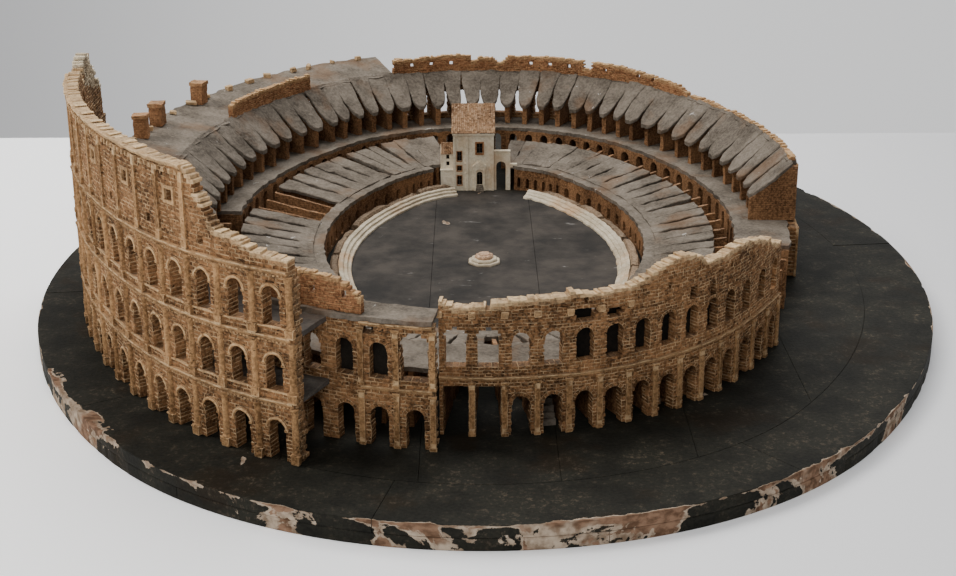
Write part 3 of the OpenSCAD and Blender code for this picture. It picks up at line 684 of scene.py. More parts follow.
# Near-black plaster for the sheets of painted shade behind arches and windows
DARK = plaster_finish("painted_shade_inside", (0.006, 0.005, 0.004), (0.02, 0.016, 0.012), 0.0, dusty=0.0)
WEATHERED = cork_finish("weathered_cork", (0.2, 0.14, 0.085), (0.66, 0.53, 0.36), 0.8, edge=(0.8, 0.7, 0.52))
PALE = plaster_finish("pale_plaster", (0.32, 0.25, 0.165), (0.66, 0.58, 0.44), 0.6)


# ---- masonry: stones cut as plain shapes and laid by the tree ----
def stone_shape(name, sizes=(10.0, 7.0, 3.2), cut=0.45):
    """A one-millimetre block with its arrises cut in proportion to a typical stone."""
    shell = bmesh.new()
    bmesh.ops.create_cube(shell, size=1.0)
    bmesh.ops.scale(shell, vec=sizes, verts=shell.verts)
    bmesh.ops.bevel(shell, geom=shell.edges[:], offset=cut, segments=1, affect="EDGES")
    bmesh.ops.scale(shell, vec=[MM / s for s in sizes], verts=shell.verts)
    mesh = bpy.data.meshes.new(name)
    shell.to_mesh(mesh)
    # the cut arrises are marked light, partly as wear and partly as painted highlight
    edge = [0.0 if max(abs(v) for v in f.normal) > 0.99 else 1.0 for f in mesh.polygons]
    shell.free()
    mesh.attributes.new("edge", "FLOAT", "FACE").data.foreach_set("value", edge)
    obj = bpy.data.objects.new(name, mesh)
    bpy.context.scene.collection.objects.link(obj)
    return obj


# Wedges round one arch
VOUSSOIRS = 9


def wedge_shape(name, radius, high, deep, proud, cut=0.3):
    """One voussoir of a round arch, at its crown: local +X is out of the wall."""
    half = math.pi / VOUSSOIRS / 2 * 0.96
    corners = [(-half, radius), (half, radius), (half, radius + high), (-half, radius + high)]
    quad = np.array([(0, r * math.sin(a), r * math.cos(a)) for a, r in corners])
    verts, faces = chamfered(quad + (proud, 0, 0), quad - (deep, 0, 0), cut)
    return mark_edges(new_object(name, verts, faces), 0.6)


def hoop_shape(name, radius, wide, proud, count=14):
    """A raised moulding round an arch's head, with a rounded section."""
    section = [(-0.8, 0), (proud * 0.7, 0), (proud, wide * 0.3), (proud, wide * 0.7),
               (proud * 0.6, wide), (-0.8, wide)]
    rings = []
    for i in range(count + 1):
        a = -math.pi / 2 + math.pi * i / count
        rings.append([(x, (radius + w) * math.sin(a), (radius + w) * math.cos(a)) for x, w in section])
    obj = new_object(name, *tube(rings))
    # the moulding's front faces are marked light, partly as wear and partly as painted highlight
    return set_edges(obj, [0.8 if i % len(section) in (2, 3) else 0.0
                           for i in range(len(obj.data.polygons))])


def turned_half(name, profile, sides=8):
    """Half a turned shape against a wall: profile is (height, radius), local +X is out."""
    rings = []
    for z, r in profile:
        arc = [(r * math.cos(a), r * math.sin(a), z)
               for a in np.linspace(-math.pi / 2, math.pi / 2, sides)]
        rings.append(arc + [(-0.6, r, z), (-0.6, -r, z)])
    return set_edges(new_object(name, *tube(rings)))


def profile_shape(name, section):
    """One millimetre of moulding along Y; section is (out, height)."""
    rings = [[(x, y, z) for x, z in section] for y in (-0.5, 0.5)]
    return set_edges(new_object(name, *tube(rings)))


STONE = stone_shape("stone")
rng = np.random.default_rng(20)
# Depth of a ring of voussoirs behind which the coursed stones stop
RING = 2.6


def course_spans(w, half_offset, length):
    """Stone ends along one course of a bay w wide."""
    count = max(1, round(w / length))
    edges = [-w / 2 + w * (i + (0.5 if half_offset else 0)) / count for i in range(count + 1)]
    edges = [e + rng.uniform(-0.12, 0.12) * length for e in edges if -w / 2 + 1 < e < w / 2 - 1]
    return [-w / 2] + edges + [w / 2]


def cut_out(spans, gap):
    """Takes the interval gap out of a list of intervals."""
    result = []
    for a, b in spans:
        if gap[1] <= a or gap[0] >= b:
            result.append((a, b))
            continue
        if gap[0] - a > 1.0:
            result.append((a, gap[0]))
        if b - gap[1] > 1.0:
            result.append((gap[1], b))
    return result


def stone_rows(d, thick, z0, z1, t0, t1, holes=None, top=None, course=3.2, length=6.5):
    """Stones for a wall of flat bays: holes(t) lists (middle, half width, foot, spring, round)
    and top(t) is the height of a broken top."""
    rows = []
    count = max(1, round((z1 - z0) / course))
    high = (z1 - z0) / count
    for t in bays_in(t0, t1):
        place, yaw = bay_place(d, t)
        w = bay_width(d, t)
        out = np.array([math.cos(yaw), math.sin(yaw)])
        side = np.array([-out[1], out[0]])
        for i in range(count):
            z = z0 + (i + 0.5) * high
            edges = course_spans(w, i % 2, length)
            spans = list(zip(edges[:-1], edges[1:]))
            for middle, half, foot, spring, round_top in (holes(t) if holes else ()):
                if foot < z < spring:
                    spans = cut_out(spans, (middle - half, middle + half))
                elif round_top and spring <= z < spring + half + RING:
                    reach = math.sqrt((half + RING) ** 2 - (z - spring) ** 2)
                    spans = cut_out(spans, (middle - reach, middle + reach))
            for a, b in spans:
                along = t + (a + b) / 2 / w
                limit = top(along) if top else z1
                if z - high / 2 > limit - 0.4:
                    continue
                near_top = 0.0 if not top else max(0.0, 1 - (limit - z) / 5.0)
                stone_high = min(high, limit - z + high / 2 + 0.3) if top else high
                mid = place + side * (a + b) / 2 - out * (thick / 2 - rng.uniform(-0.25, 0.35))
                rows.append(((*mid, z - (high - stone_high) / 2), yaw,
                             (thick, b - a + 0.06, stone_high + 0.06), near_top))
    return rows


def arch_rows(d, spring, t0, t1, skip=()):
    """Places at the middle of each arch's springing line."""
    rows = []
    for t in bays_in(t0, t1):
        if t not in skip:
            place, yaw = bay_place(d, t)
            rows.append(((*place, spring), yaw, (1, 1, 1), 0.0))
    return rows


def wedge_rows(arches, drop_chance=0.0):
    """Turns each arch place into the places of its voussoirs, of which some may have dropped."""
    rows = []
    for place, yaw, _, tone in arches:
        for i in range(VOUSSOIRS):
            phi = -math.pi / 2 + math.pi * (i + 0.5) / VOUSSOIRS
            if rng.random() >= drop_chance:
                # local +Y goes to +Z when turned by +X, so the crown wedge turns by -phi
                rows.append((place, (-phi, 0, yaw), (1, 1, 1), tone))
    return rows


def beside_rows(arches, offset, size):
    """Two blocks beside each arch's springing line."""
    rows = []
    for place, yaw, _, tone in arches:
        side = np.array([-math.sin(yaw), math.cos(yaw), 0])
        for s in (-1, 1):
            rows.append((np.array(place) + side * s * offset, yaw, size, tone))
    return rows


def pier_rows(d, z, t0, t1, size=(1, 1, 1), tone=0.0):
    rows = []
    for t in piers_in(t0, t1):
        rows.append(((*spot(d, t), z), plan(t)[2], size, tone))
    return rows


def along_rows(d, z, t0, t1, step, size=(1, 1, 1), tone=0.0, wall_long=True):
    """Pieces laid end to end along flat bays, about step long."""
    rows = []
    for t in bays_in(t0, t1):
        place, yaw = bay_place(d, t)
        w = bay_width(d, t)
        side = np.array([-math.sin(yaw), math.cos(yaw)])
        count = max(1, round(w / step))
        for i in range(count):
            y = -w / 2 + w * (i + 0.5) / count
            long = w / count + (0.05 if wall_long else 0)
            rows.append(((*(place + side * y), z), yaw, (size[0], size[1] * long, size[2]), tone))
    return rows


def profile_at(points):
    """A height along the wall from (bay, height) points."""
    ts, zs = [p[0] for p in points], [p[1] for p in points]
    return lambda t: float(np.interp(t, ts, zs)) + 0.7 * math.sin(t * 23.0) + 0.5 * math.sin(t * 61.0)


# Broken tops, as heights above the board
OUTER_BREAK = profile_at([(39, 176), (39.5, 180), (39.8, 192), (40.2, 206), (40.6, 218), (41.0, 226),
                          (41.3, 225), (41.55, 218), (41.75, 198), (42.0, 212), (42.3, 218), (43, 219),
                          (52.4, 219), (52.7, 214), (52.9, 200), (53.2, 186), (53.5, 174), (54, 172),
                          (54.5, 165.5), (55.1, 163), (56, 162)])
MIDDLE_BREAK = profile_at([(49, 132), (54.7, 134), (55.4, 133), (56, 130), (56.4, 120), (56.9, 106),
                           (57.6, 106), (58.7, 109)])
FACADE_BREAK = profile_at([(58.4, 112), (59, 106), (59.8, 108), (60.4, 110), (61, 112), (61.7, 113.5),
                           (62.3, 112.5), (62.6, 117), (62.9, 114), (63.6, 112.5), (64.5, 114), (64.9, 117),
                           (65.4, 122), (65.9, 128), (66.5, 131), (67.2, 126), (67.7, 118), (68.5, 118.5),
                           (69.4, 121), (70.3, 118), (71.4, 109), (72, 99), (72.6, 96)])


def round_hole(half, foot, spring):
    return lambda t: [(0.0, half, foot, spring, True)]


# How far inside a wall's back its dark sheets of painted shade stand
SHADE_SHEET_IN = 0.9


def blind_rows(d, foot, high, wide, t0, t1):
    """Thin dark sheets that close arches at the back of the wall's thickness, painted shade for the dark
    inside behind them.
    """
    rows = []
    for t in bays_in(t0, t1):
        place, yaw = bay_place(d, t)
        rows.append(((*place, foot + high / 2), yaw, (0.8, wide, high), 0.0))
    return rows


def laid(node, groups, slot, worn=((6.0, 0.35), (1.7, 0.18))):
    """The worn piece for a node, from groups of (shape, rows, finish, shift, twist)."""
    name = node + "_made"
    pieces = [copies(name + str(i), shape, rows, finish, shift, twist, seed=17 + i)
              for i, (shape, rows, finish, shift, twist) in enumerate(groups) if rows]
    piece = join(name, pieces) if len(pieces) > 1 else pieces[0]
    piece.name = name
    for i, (size, amount) in enumerate(worn):
        wear(piece, size, amount, seed=31 + i)
    return keep(piece, slot, node)


# ---- outer ring ----
# Each storey's foot, head, sill and the rise from its sill to its arches' springing
STOREYS = ((0.0, FLOOR_1, 0.0, RISE_1), (FLOOR_1, FLOOR_2, SILL, RISE_2), (FLOOR_2, FLOOR_3, SILL, RISE_3))
OUTER_WEDGE = wedge_shape("outer_wedge", OUTER_ARCH / 2, RING + 0.6, OUTER_THICK, 0.25)
OUTER_HOOP = hoop_shape("outer_hoop", OUTER_ARCH / 2 + 0.2, 2.3, 1.3)
CORNICE_PIECE = profile_shape("cornice_piece", [(-0.4, -4), (0.9, -4), (1.1, -3), (1.9, -2.6),
                                                (2.1, -1.4), (2.9, -1.0), (3.0, -0.1), (2.4, 0.0), (-0.4, 0)])
# the cornice's nose is marked light, partly as wear and partly as painted highlight
for i in (5, 6):
    CORNICE_PIECE.data.attributes["edge"].data[i].value = 1.0
COLUMN_HIGH = 38
COLUMN = turned_half("column", [(0, 3.7), (0.9, 3.8), (1.5, 3.1), (2.2, 2.9), (33.5, 2.6), (34.2, 3.1),
                                (35, 2.8), (36.6, 3.7), (COLUMN_HIGH, 3.9)])


def tooth_rows(d, thick, z0, z1, t_end, reach, course=3.2):
    """Stones that stick out of a broken end, course by course."""
    rows = []
    place, yaw = bay_place(d, t_end - 0.5)
    side = np.array([-math.sin(yaw), math.cos(yaw)])
    out = np.array([math.cos(yaw), math.sin(yaw)])
    w = bay_width(d, t_end - 0.5)
    count = round((z1 - z0) / course)
    for i in range(count):
        z = z0 + (i + 0.5) * (z1 - z0) / count
        for depth in (0.2, 0.5, 0.8):
            far = reach * rng.uniform(0.1, 1.0) * (1 if i % 2 else 0.45)
            mid = place + side * (w / 2 + far / 2 - 0.4) - out * thick * depth
            rows.append(((*mid, z), yaw, (thick * 0.36, far + 0.8, course + 0.1), 0.1))
    return rows


for i, (foot, head, sill, rise) in enumerate(STOREYS):
    spring = foot + sill + rise
    arches = arch_rows(0, spring, *OUTER)
    stones = stone_rows(0, OUTER_THICK, foot, head, *OUTER,
                        holes=round_hole(OUTER_ARCH / 2, foot + sill, spring))
    laid("outer_storey_%d" % (i + 1), [
        (STONE, stones + tooth_rows(0, OUTER_THICK, foot, head, OUTER[1], 3.4), OCHRE, 0.12, 0.01),
        (OUTER_WEDGE, wedge_rows(arches), OCHRE, 0.05, 0.0),
        (OUTER_HOOP, arches, LIGHT_OCHRE, 0.0, 0.0),
        (STONE, beside_rows(arches, OUTER_ARCH / 2 + 1.3, (3.0, 3.4, 1.8)), LIGHT_OCHRE, 0.1, 0.0),
        (STONE, along_rows(-0.2, foot + sill - 0.4, *OUTER, 9, (2.0, 1, 1.3), 0.3) if sill else [],
         LIGHT_OCHRE, 0.08, 0.0),
    ], "cork")


def dentil_rows(d, z, t0, t1):
    return along_rows(d - 0.9, z, t0, t1, 3.2, (1.8, 0.55, 1.3), 0.15, wall_long=False)


for i, z in enumerate((FLOOR_1, FLOOR_2, FLOOR_3)):
    laid("outer_cornice_%d" % (i + 1), [
        (CORNICE_PIECE, along_rows(0, z, *OUTER, 8.5, (1, 1, 1), 0.1), LIGHT_OCHRE, 0.12, 0.015),
        (STONE, dentil_rows(0, z - 4.4, *OUTER), LIGHT_OCHRE, 0.1, 0.0),
    ], "light_cork")

laid("half_columns", [
    (COLUMN, [r for i, (foot, head, _, _) in enumerate(STOREYS)
              for r in pier_rows(0, foot + 8, *OUTER, size=(1, 1, (head - foot - 12) / COLUMN_HIGH))],
     LIGHT_OCHRE, 0.1, 0.01)], "light_cork", worn=((5, 0.3), (1.5, 0.15)))
laid("column_pedestals", [
    (STONE, [r for foot, _, _, _ in STOREYS for r in pier_rows(-1.3, foot + 3.7, *OUTER,
                                                               size=(3.4, 7.4, 7.4))],
     LIGHT_OCHRE, 0.1, 0.01),
    (STONE, [r for foot, _, _, _ in STOREYS for r in pier_rows(-1.5, foot + 7.4, *OUTER,
                                                               size=(4.0, 8.6, 1.4))],
     LIGHT_OCHRE, 0.1, 0.01)], "light_cork")


def attic_holes(t):
    w = bay_width(0, t)
    under = [(y, 1.3, ATTIC_TOP - 13, ATTIC_TOP - 9.5, False) for y in (-w / 4, w / 4)]
    if t >= 53:
        return [(0.0, 2.5, FLOOR_3 + 8, FLOOR_3 + 13, False)] if t == 53 else []
    if t % 2 == 0:
        return under + [(0.0, 4.5, FLOOR_3 + 34, FLOOR_3 + 43, False)]
    return under + [(0.0, 2.5, FLOOR_3 + 10, FLOOR_3 + 15, False)]


attic_stones = stone_rows(0, 10, FLOOR_3, 229, *OUTER, holes=attic_holes, top=OUTER_BREAK)


def bleached(row):
    """Stones at the top of the far end of the attic have weathered pale."""
    (_, y, z), _, _, _ = row
    return y > BACK - 56 and z > 184 + 0.25 * (BACK - y)


laid("outer_attic", [
    (STONE, [r for r in attic_stones if not bleached(r)], OCHRE, 0.15, 0.012),
    (STONE, [r for r in attic_stones if bleached(r)], WEATHERED, 0.5, 0.04),
], "cork")
laid("outer_top_cornice", [
    (CORNICE_PIECE, along_rows(0, ATTIC_TOP, LEFT + 2.5, ATTIC_END, 8.5, (1, 1, 1), 0.5),
     LIGHT_OCHRE, 0.2, 0.02),
    (STONE, along_rows(-0.9, ATTIC_TOP - 7, LEFT + 2.5, ATTIC_END, 7.5, (2.6, 0.36, 3.4), 0.3, False),
     LIGHT_OCHRE, 0.15, 0.0)], "light_cork", worn=((6, 0.7), (1.7, 0.3)))
laid("attic_pilasters", [
    (STONE, pier_rows(-0.6, (FLOOR_3 + ATTIC_TOP) / 2 - 2, OUTER[0], ATTIC_END,
                      size=(2.2, 4.2, ATTIC_TOP - FLOOR_3 - 6)), LIGHT_OCHRE, 0.1, 0.004),
    (STONE, pier_rows(-0.8, FLOOR_3 + 4, OUTER[0], ATTIC_END, size=(2.8, 5.4, 8)), LIGHT_OCHRE, 0.1, 0.0),
], "light_cork")

frame_bars = [box_shell((-0.3, y0, z0), (1.3, y1, z1)) for y0, y1, z0, z1 in
              ((-7, 7, -2.5, 0), (-7, 7, 9, 11.5), (-7, -4.5, -2.5, 11.5), (4.5, 7, -2.5, 11.5))]
WINDOW_FRAME = set_edges(new_object("window_frame", *joined(frame_bars)))
laid("window_frames", [
    (WINDOW_FRAME, [((*bay_place(0, t)[0], FLOOR_3 + 34), bay_place(0, t)[1], (1, 1, 1), 0.25)
                    for t in bays_in(OUTER[0], ATTIC_END) if t % 2 == 0], LIGHT_OCHRE, 0.0, 0.0),
], "light_cork")

# ---- second ring ----
FACADE_WEDGE = wedge_shape("facade_wedge", FACADE_ARCH / 2, 3.4, WALL_THICK, 0.8)


def pilaster_rows(d, z0, z1, t0, t1):
    rows = pier_rows(d - 0.8, (z0 + z1) / 2, t0, t1, size=(2.0, 4.6, z1 - z0))
    rows += pier_rows(d - 1.0, z0 + 1.5, t0, t1, size=(2.4, 5.8, 3))
    return rows + pier_rows(d - 1.0, z1 - 1.2, t0, t1, size=(2.6, 6.2, 2.4))


def middle_holes(foot, sill, spring):
    """Round arches, of which the last upper one and the wall beside it are broken wider."""
    def holes(t):
        if sill and t == 58:
            return [(0.0, 10.5, foot + sill, spring + 3, True)]
        whole = [(0.0, FACADE_ARCH / 2, foot + sill, spring, True)]
        return whole + ([(-11.0, 7.5, FLOOR_2 - 9, FLOOR_2 + 2, False)] if sill and t == 57 else [])
    return holes


for i, (foot, head, sill, rise) in enumerate(STOREYS[:2]):
    spring = foot + sill + rise
    arches = arch_rows(MIDDLE_INSET, spring, OUTER[0], MIDDLE_END, skip=(58,) if sill else ())
    laid("middle_wall_%d" % (i + 1), [
        (STONE, stone_rows(MIDDLE_INSET, WALL_THICK, foot, head, OUTER[0], MIDDLE_END,
                           holes=middle_holes(foot, sill, spring)), OCHRE, 0.15, 0.012),
        (FACADE_WEDGE, wedge_rows(arches), OCHRE, 0.15, 0.0),
        (STONE, tooth_rows(MIDDLE_INSET, WALL_THICK, foot, head, MIDDLE_END, 2.5), OCHRE, 0.1, 0.01),
        # dark sheets of painted shade behind the upper arches
        (STONE, blind_rows(MIDDLE_INSET + WALL_THICK - SHADE_SHEET_IN, FLOOR_1 + 4, 47, 17, OUTER[1],
                           MIDDLE_END - 1) if sill else [], DARK, 0.0, 0.0),
    ], "cork")

laid("middle_upper_wall", [
    (STONE, stone_rows(MIDDLE_INSET + 3, 6, FLOOR_2 + 4, 135, LEFT + 9.5, LEFT + 16.5, top=MIDDLE_BREAK,
                       holes=lambda t: [(0.0, 2.2, FLOOR_2 + 16, FLOOR_2 + 20.5, False)], course=2.8,
                       length=5), RED_BRICK, 0.12, 0.01)], "red_cork")
laid("middle_cornices", [
    (CORNICE_PIECE, [r for z in (FLOOR_1, FLOOR_2)
                     for r in along_rows(MIDDLE_INSET, z, OUTER[1] + 0.5, MIDDLE_END, 8,
                                         (0.8, 1, 0.8), 0.1)],
     LIGHT_OCHRE, 0.15, 0.02)], "light_cork")
laid("middle_pilasters", [
    (STONE, pilaster_rows(MIDDLE_INSET, 0, FLOOR_1 - CORNICE, OUTER[1] + 1, MIDDLE_END)
     + pilaster_rows(MIDDLE_INSET, FLOOR_1, FLOOR_2 - CORNICE, OUTER[1] + 1, MIDDLE_END),
     LIGHT_OCHRE, 0.1, 0.0)], "light_cork")


# ---- near facade ----
# Its stones are smaller than the outer ring's
FINE = {"course": 2.8, "length": 5.5}
# Bays of the near facade whose arches have lost their wedges
BARE_BAYS = (59, 60)


def front_holes_1(t):
    """The lower storey: two openings as wide as their bays, and then round arches."""
    if t < 60.5:
        return [(0.0, bay_width(FACADE_INSET, t) / 2 - 3, 0, 43, False)]
    return [(0.0, FACADE_ARCH / 2, 0, RISE_1, True)]


# Small openings broken through above the near facade's upper arches, by bay
BROKEN_THROUGH = {
    63: (0.0, 7.5, FLOOR_2 - 11, FLOOR_2 - 6, True),
    64: (0.0, 5, FLOOR_1 + 41, FLOOR_1 + 43, True),
    67: (1.0, 4.5, FLOOR_2 - 10, FLOOR_2 - 1, False),
    68: (0.0, 3.6, FLOOR_1 + 39, FLOOR_1 + 48, False),
}
UPPER_HALF = 7.0


def front_holes_2(t):
    """The upper storey's arches, wider at the broken end, with the holes above them."""
    half = 7.25 if t == 64 else 8.2 if t < 61 else UPPER_HALF
    foot = FLOOR_1 + SILL
    holes = [(0.0, half, foot, foot + RISE_2, True)]
    return holes + [BROKEN_THROUGH[t]] if t in BROKEN_THROUGH else holes


front_arches_1 = arch_rows(FACADE_INSET, RISE_1, *FRONT, skip=BARE_BAYS)
laid("front_facade_1", [
    (STONE, stone_rows(FACADE_INSET, WALL_THICK, 0, FLOOR_1, *FRONT, holes=front_holes_1, **FINE),
     OCHRE, 0.15, 0.012),
    (FACADE_WEDGE, wedge_rows(front_arches_1), OCHRE, 0.2, 0.01),
    (STONE, tooth_rows(FACADE_INSET, WALL_THICK, 0, FLOOR_1, FRONT[1], 2.5, FINE["course"]),
     OCHRE, 0.1, 0.01),
], "cork")
SMALL_WEDGE = wedge_shape("small_wedge", UPPER_HALF, 2.6, WALL_THICK, 0.35)
front_arches_2 = arch_rows(FACADE_INSET, FLOOR_1 + SILL + RISE_2, *FRONT, skip=BARE_BAYS)
laid("front_facade_2", [
    (STONE, stone_rows(FACADE_INSET, WALL_THICK, FLOOR_1, FLOOR_2, *FRONT, holes=front_holes_2,
                       top=FACADE_BREAK, **FINE), OCHRE, 0.15, 0.012),
    (SMALL_WEDGE, wedge_rows(front_arches_2), OCHRE, 0.2, 0.01),
    (STONE, tooth_rows(FACADE_INSET, WALL_THICK, FLOOR_1, FLOOR_2 - 6, FRONT[1], 2, FINE["course"]),
     OCHRE, 0.1, 0.01),
    # dark sheets of painted shade behind the upper arches
    (STONE, blind_rows(FACADE_INSET + WALL_THICK - SHADE_SHEET_IN, FLOOR_1 + 4, 48, 16, 62.5, 72),
     DARK, 0.0, 0.0),
], "cork")
laid("front_facade_top", [
    (STONE, stone_rows(FACADE_INSET, WALL_THICK, FLOOR_2, 134, *FRONT, top=FACADE_BREAK,
                       holes=lambda t: [(0.0, 1.6, FLOOR_2 + 4, FLOOR_2 + 8, False)] if t % 3 == 0 else [],
                       **FINE), OCHRE, 0.18, 0.015),
    (STONE, pier_rows(FACADE_INSET - 0.7, FLOOR_2 - 1, FRONT[0], FRONT[0] + 6, size=(2.4, 5.5, 5.5),
                      tone=0.25), LIGHT_OCHRE, 0.1, 0.0),
], "cork", worn=((6, 0.5), (1.7, 0.3)))
laid("front_cornice", [
    (CORNICE_PIECE, along_rows(FACADE_INSET, FLOOR_1, *FRONT, 8, (0.85, 1, 0.8), 0.1),
     LIGHT_OCHRE, 0.15, 0.02),
], "light_cork")
laid("front_pilasters", [
    (STONE, pilaster_rows(FACADE_INSET, 0, FLOOR_1 - CORNICE, FRONT[0] + 1, FRONT[1]),
     LIGHT_OCHRE, 0.12, 0.0),
], "light_cork")

# ---- back facades, seen from behind ----
for name, d, ends, floors, arch, wedge in (
        ("back_facade", FACADE_INSET, (BACK_FROM, REAR[0]), (0, FLOOR_1, TERRACE - SLAB),
         FACADE_ARCH, FACADE_WEDGE),
        ("rear_facade", REAR_INSET, REAR, (0, FLOOR_1, height_of("rear_facade_2")),
         OUTER_ARCH, OUTER_WEDGE)):
    for i in (0, 1):
        foot, head = floors[i], floors[i + 1]
        # the back facade's upper storey starts one bay later
        t0, t1 = ends[0] + (1 if i and name == "back_facade" else 0), ends[1]
        spring = foot + (SILL + RISE_2 if i else RISE_1)
        laid("%s_%d" % (name, i + 1), [
            (STONE, stone_rows(d, WALL_THICK, foot, head, t0, t1, course=3.9, length=8,
                               holes=round_hole(arch / 2, foot + (SILL if i else 0), spring)),
             OCHRE, 0.2, 0.012),
            (wedge, wedge_rows(arch_rows(d, spring, t0, t1)), OCHRE, 0.15, 0.01),
            (STONE, pier_rows(d - 0.7, (foot + head) / 2, t0, t1, size=(2.2, 4.6, head - foot)),
             LIGHT_OCHRE, 0.1, 0.0),
            (CORNICE_PIECE, along_rows(d, head, t0, t1, 8, (0.8, 1, 0.8), 0.1), LIGHT_OCHRE, 0.1, 0.01),
        ], "cork")


# ---- seating ----
def band(name, d0, d1, t0, t1, top, finish, cells=7, ragged=(0.8, 0.8), step=0.22):
    """A floor or terrace that follows the plan from inset d0 out to d1, with ragged edges."""
    count = max(4, int((t1 - t0) / step))
    rings = []
    for i in range(count + 1):
        t = t0 + (t1 - t0) * i / count
        rag = [k * (math.sin(t * 7.1 + k) + 0.6 * math.sin(t * 19.3)) for k in ragged]
        ds = np.linspace(d0 - rag[0], d1 + rag[1], cells + 1)
        over = [(*spot(d, t), top(d, t)) for d in ds]
        under = [(*spot(d, t), top(d, t) - SLAB) for d in (ds[-1], ds[0])]
        rings.append(over + under)
    piece = new_object(name, *tube(rings), finish, TOP)
    wear(piece, 16, 0.7, 5)
    return wear(piece, 4.5, 0.4, 9)


def slab_shape(name, arc_t, d_in, z_in, d_out, z_out, outline, thick=4.0, seed=0):
    """A seating slab on its wall: the outline gives shares of the bay's width along its length.
    The inner foot is at the origin and the slab runs out along +X and up."""
    shares = np.array(outline)
    stations = np.linspace(0, 1, 15)
    rings = []
    for s in stations:
        half = np.interp(s, shares[:, 0], shares[:, 1]) * bay_width(d_in + (d_out - d_in) * s, arc_t)
        x, z = (d_in - d_out) * s, (z_out - z_in) * s
        soft = 0.8
        across = np.array([-1, -0.92, -0.5, 0, 0.5, 0.92, 1]) * half
        over = [(x, y, z - (soft if abs(y) >= half * 0.99 else 0)) for y in across]
        rings.append(over + [(x, y * 0.94 * half, z - thick) for y in (1, 0, -1)])
    verts, faces = tube(rings)
    return set_edges(new_object(name, wobble(wobble(verts, 9, 0.7, seed), 3, 0.35, seed + 1), faces))


def wall_shape(name, long, foot, z_in, z_out, wide, front=0.0, cells=8, seed=0):
    """A radial wall that runs out along +X from its inner end, thicker at its front if asked."""
    verts, faces = box_shell((0, -0.5, 0), (1, 0.5, 1), (cells, 3, 6))
    x, y, z = verts.T
    top = z_in + (z_out - z_in) * x
    broad = wide + front * np.clip(1 - x * 5, 0, 1)
    shaped = np.stack([x * long, y * broad, foot + z * (top - foot)], 1)
    return set_edges(new_object(name, wobble(wobble(shaped, 8, 0.6, seed), 2.6, 0.3, seed + 1), faces))


def panel_shape(name, wide, high, thick, half, foot, spring, seed=0):
    """A wall panel with one round-headed opening; its front is at x = 0 and it runs back to -X."""
    arc = [(half * math.cos(a), spring + half * math.sin(a)) for a in np.linspace(0, math.pi, 9)]
    inner = [(half, foot), (half, (foot + spring) / 2)] + arc
    inner += [(-half, (foot + spring) / 2), (-half, foot)]
    outer = [(wide / 2, foot), (wide / 2, (foot + high) / 2)]
    outer += [(wide / 2 - wide * i / 8, high) for i in range(9)]
    outer += [(-wide / 2, (foot + high) / 2), (-wide / 2, foot)]
    verts, faces = tube([[(0, *a), (0, *b), (-thick, *b), (-thick, *a)] for a, b in zip(outer, inner)])
    shells = [(wobble(verts, 2.5, 0.25, seed), faces)]
    if foot > 0:
        shells.append(box_shell((-thick, -wide / 2, 0), (0, wide / 2, foot), (1, 4, 1)))
    return set_edges(new_object(name, *joined(shells)))


def pick(rows, count):
    """Shares rows between count variants, in a fixed mixed order."""
    mixed = [(i * 7 + i // 3) % count for i in range(len(rows))]
    return [[r for r, m in zip(rows, mixed) if m == k] for k in range(count)]


def on_side(t):
    """Whether bay t lies on one of the two long, flatter arcs."""
    return plan(t)[1] > END_R + 1


def slab_groups(prefix, d_in, z_in, d_out, z_out, placed, outlines, finish, thick=4.0):
    """Copies of slab variants for both kinds of arc; placed is a list of (pier, outline name)."""
    groups = []
    for side in (False, True):
        arc_t = 0 if side else FAR
        for label, outline in outlines.items():
            at = [t for t, chosen in placed if chosen == label and on_side(t) == side]
            rows = [((*spot(d_in, t), z_in), plan(t)[2], (1, 1, 1), 0.0) for t in at]
            for k, part in enumerate(pick(rows, 2)):
                if part:
                    name = "%s_%s_%d_%d" % (prefix, label, side, k)
                    shape = slab_shape(name, arc_t, d_in, z_in, d_out, z_out, outline, thick,
                                       seed=40 + k * 13 + len(groups))
                    groups.append((shape, part, finish, 0.5, 0.02))
                    PATTERNS.append(shape)
    return groups


PATTERNS = []
UPPER_OUTLINES = {
    "pointed": [(0, 0.15), (0.05, 0.26), (0.16, 0.41), (0.35, 0.43), (0.55, 0.48), (0.68, 0.51), (1, 0.53)],
    "narrow": [(0, 0.17), (0.06, 0.27), (0.17, 0.38), (0.5, 0.41), (0.75, 0.46), (0.9, 0.51), (1, 0.53)],
    "broad": [(0, 0.2), (0.06, 0.33), (0.15, 0.45), (0.35, 0.49), (0.5, 0.52), (1, 0.53)],
}
LOWER_OUTLINES = {
    "open": [(0, 0.51), (0.12, 0.5), (0.2, 0.4), (0.8, 0.38), (0.92, 0.36), (1, 0.3)],
    "slit": [(0, 0.52), (0.3, 0.51), (0.36, 0.45), (0.52, 0.44), (0.58, 0.5), (1, 0.51)],
    "long_slit": [(0, 0.52), (0.18, 0.51), (0.24, 0.44), (0.66, 0.42), (0.74, 0.5), (1, 0.51)],
    "shut": [(0, 0.52), (0.45, 0.51), (0.5, 0.47), (0.6, 0.47), (0.65, 0.51), (1, 0.52)],
}


def upper_kind(t):
    order = ("pointed", "pointed", "broad", "pointed", "narrow")
    return order[int(t * 2) * 3 % 5]


def lower_kind(t):
    """Which outline the lower slab on pier t has: shut near the chapel, open further off."""
    if t < 9 or t > 37:
        return "open" if int(t) % 4 else "long_slit"
    if t > 26.5:
        return ("open", "long_slit", "open")[int(t) % 3]
    if 10 < t < 26.5:
        return ("shut", "slit", "shut")[int(t) % 3]
    return ("long_slit", "slit", "long_slit")[int(t) % 3]


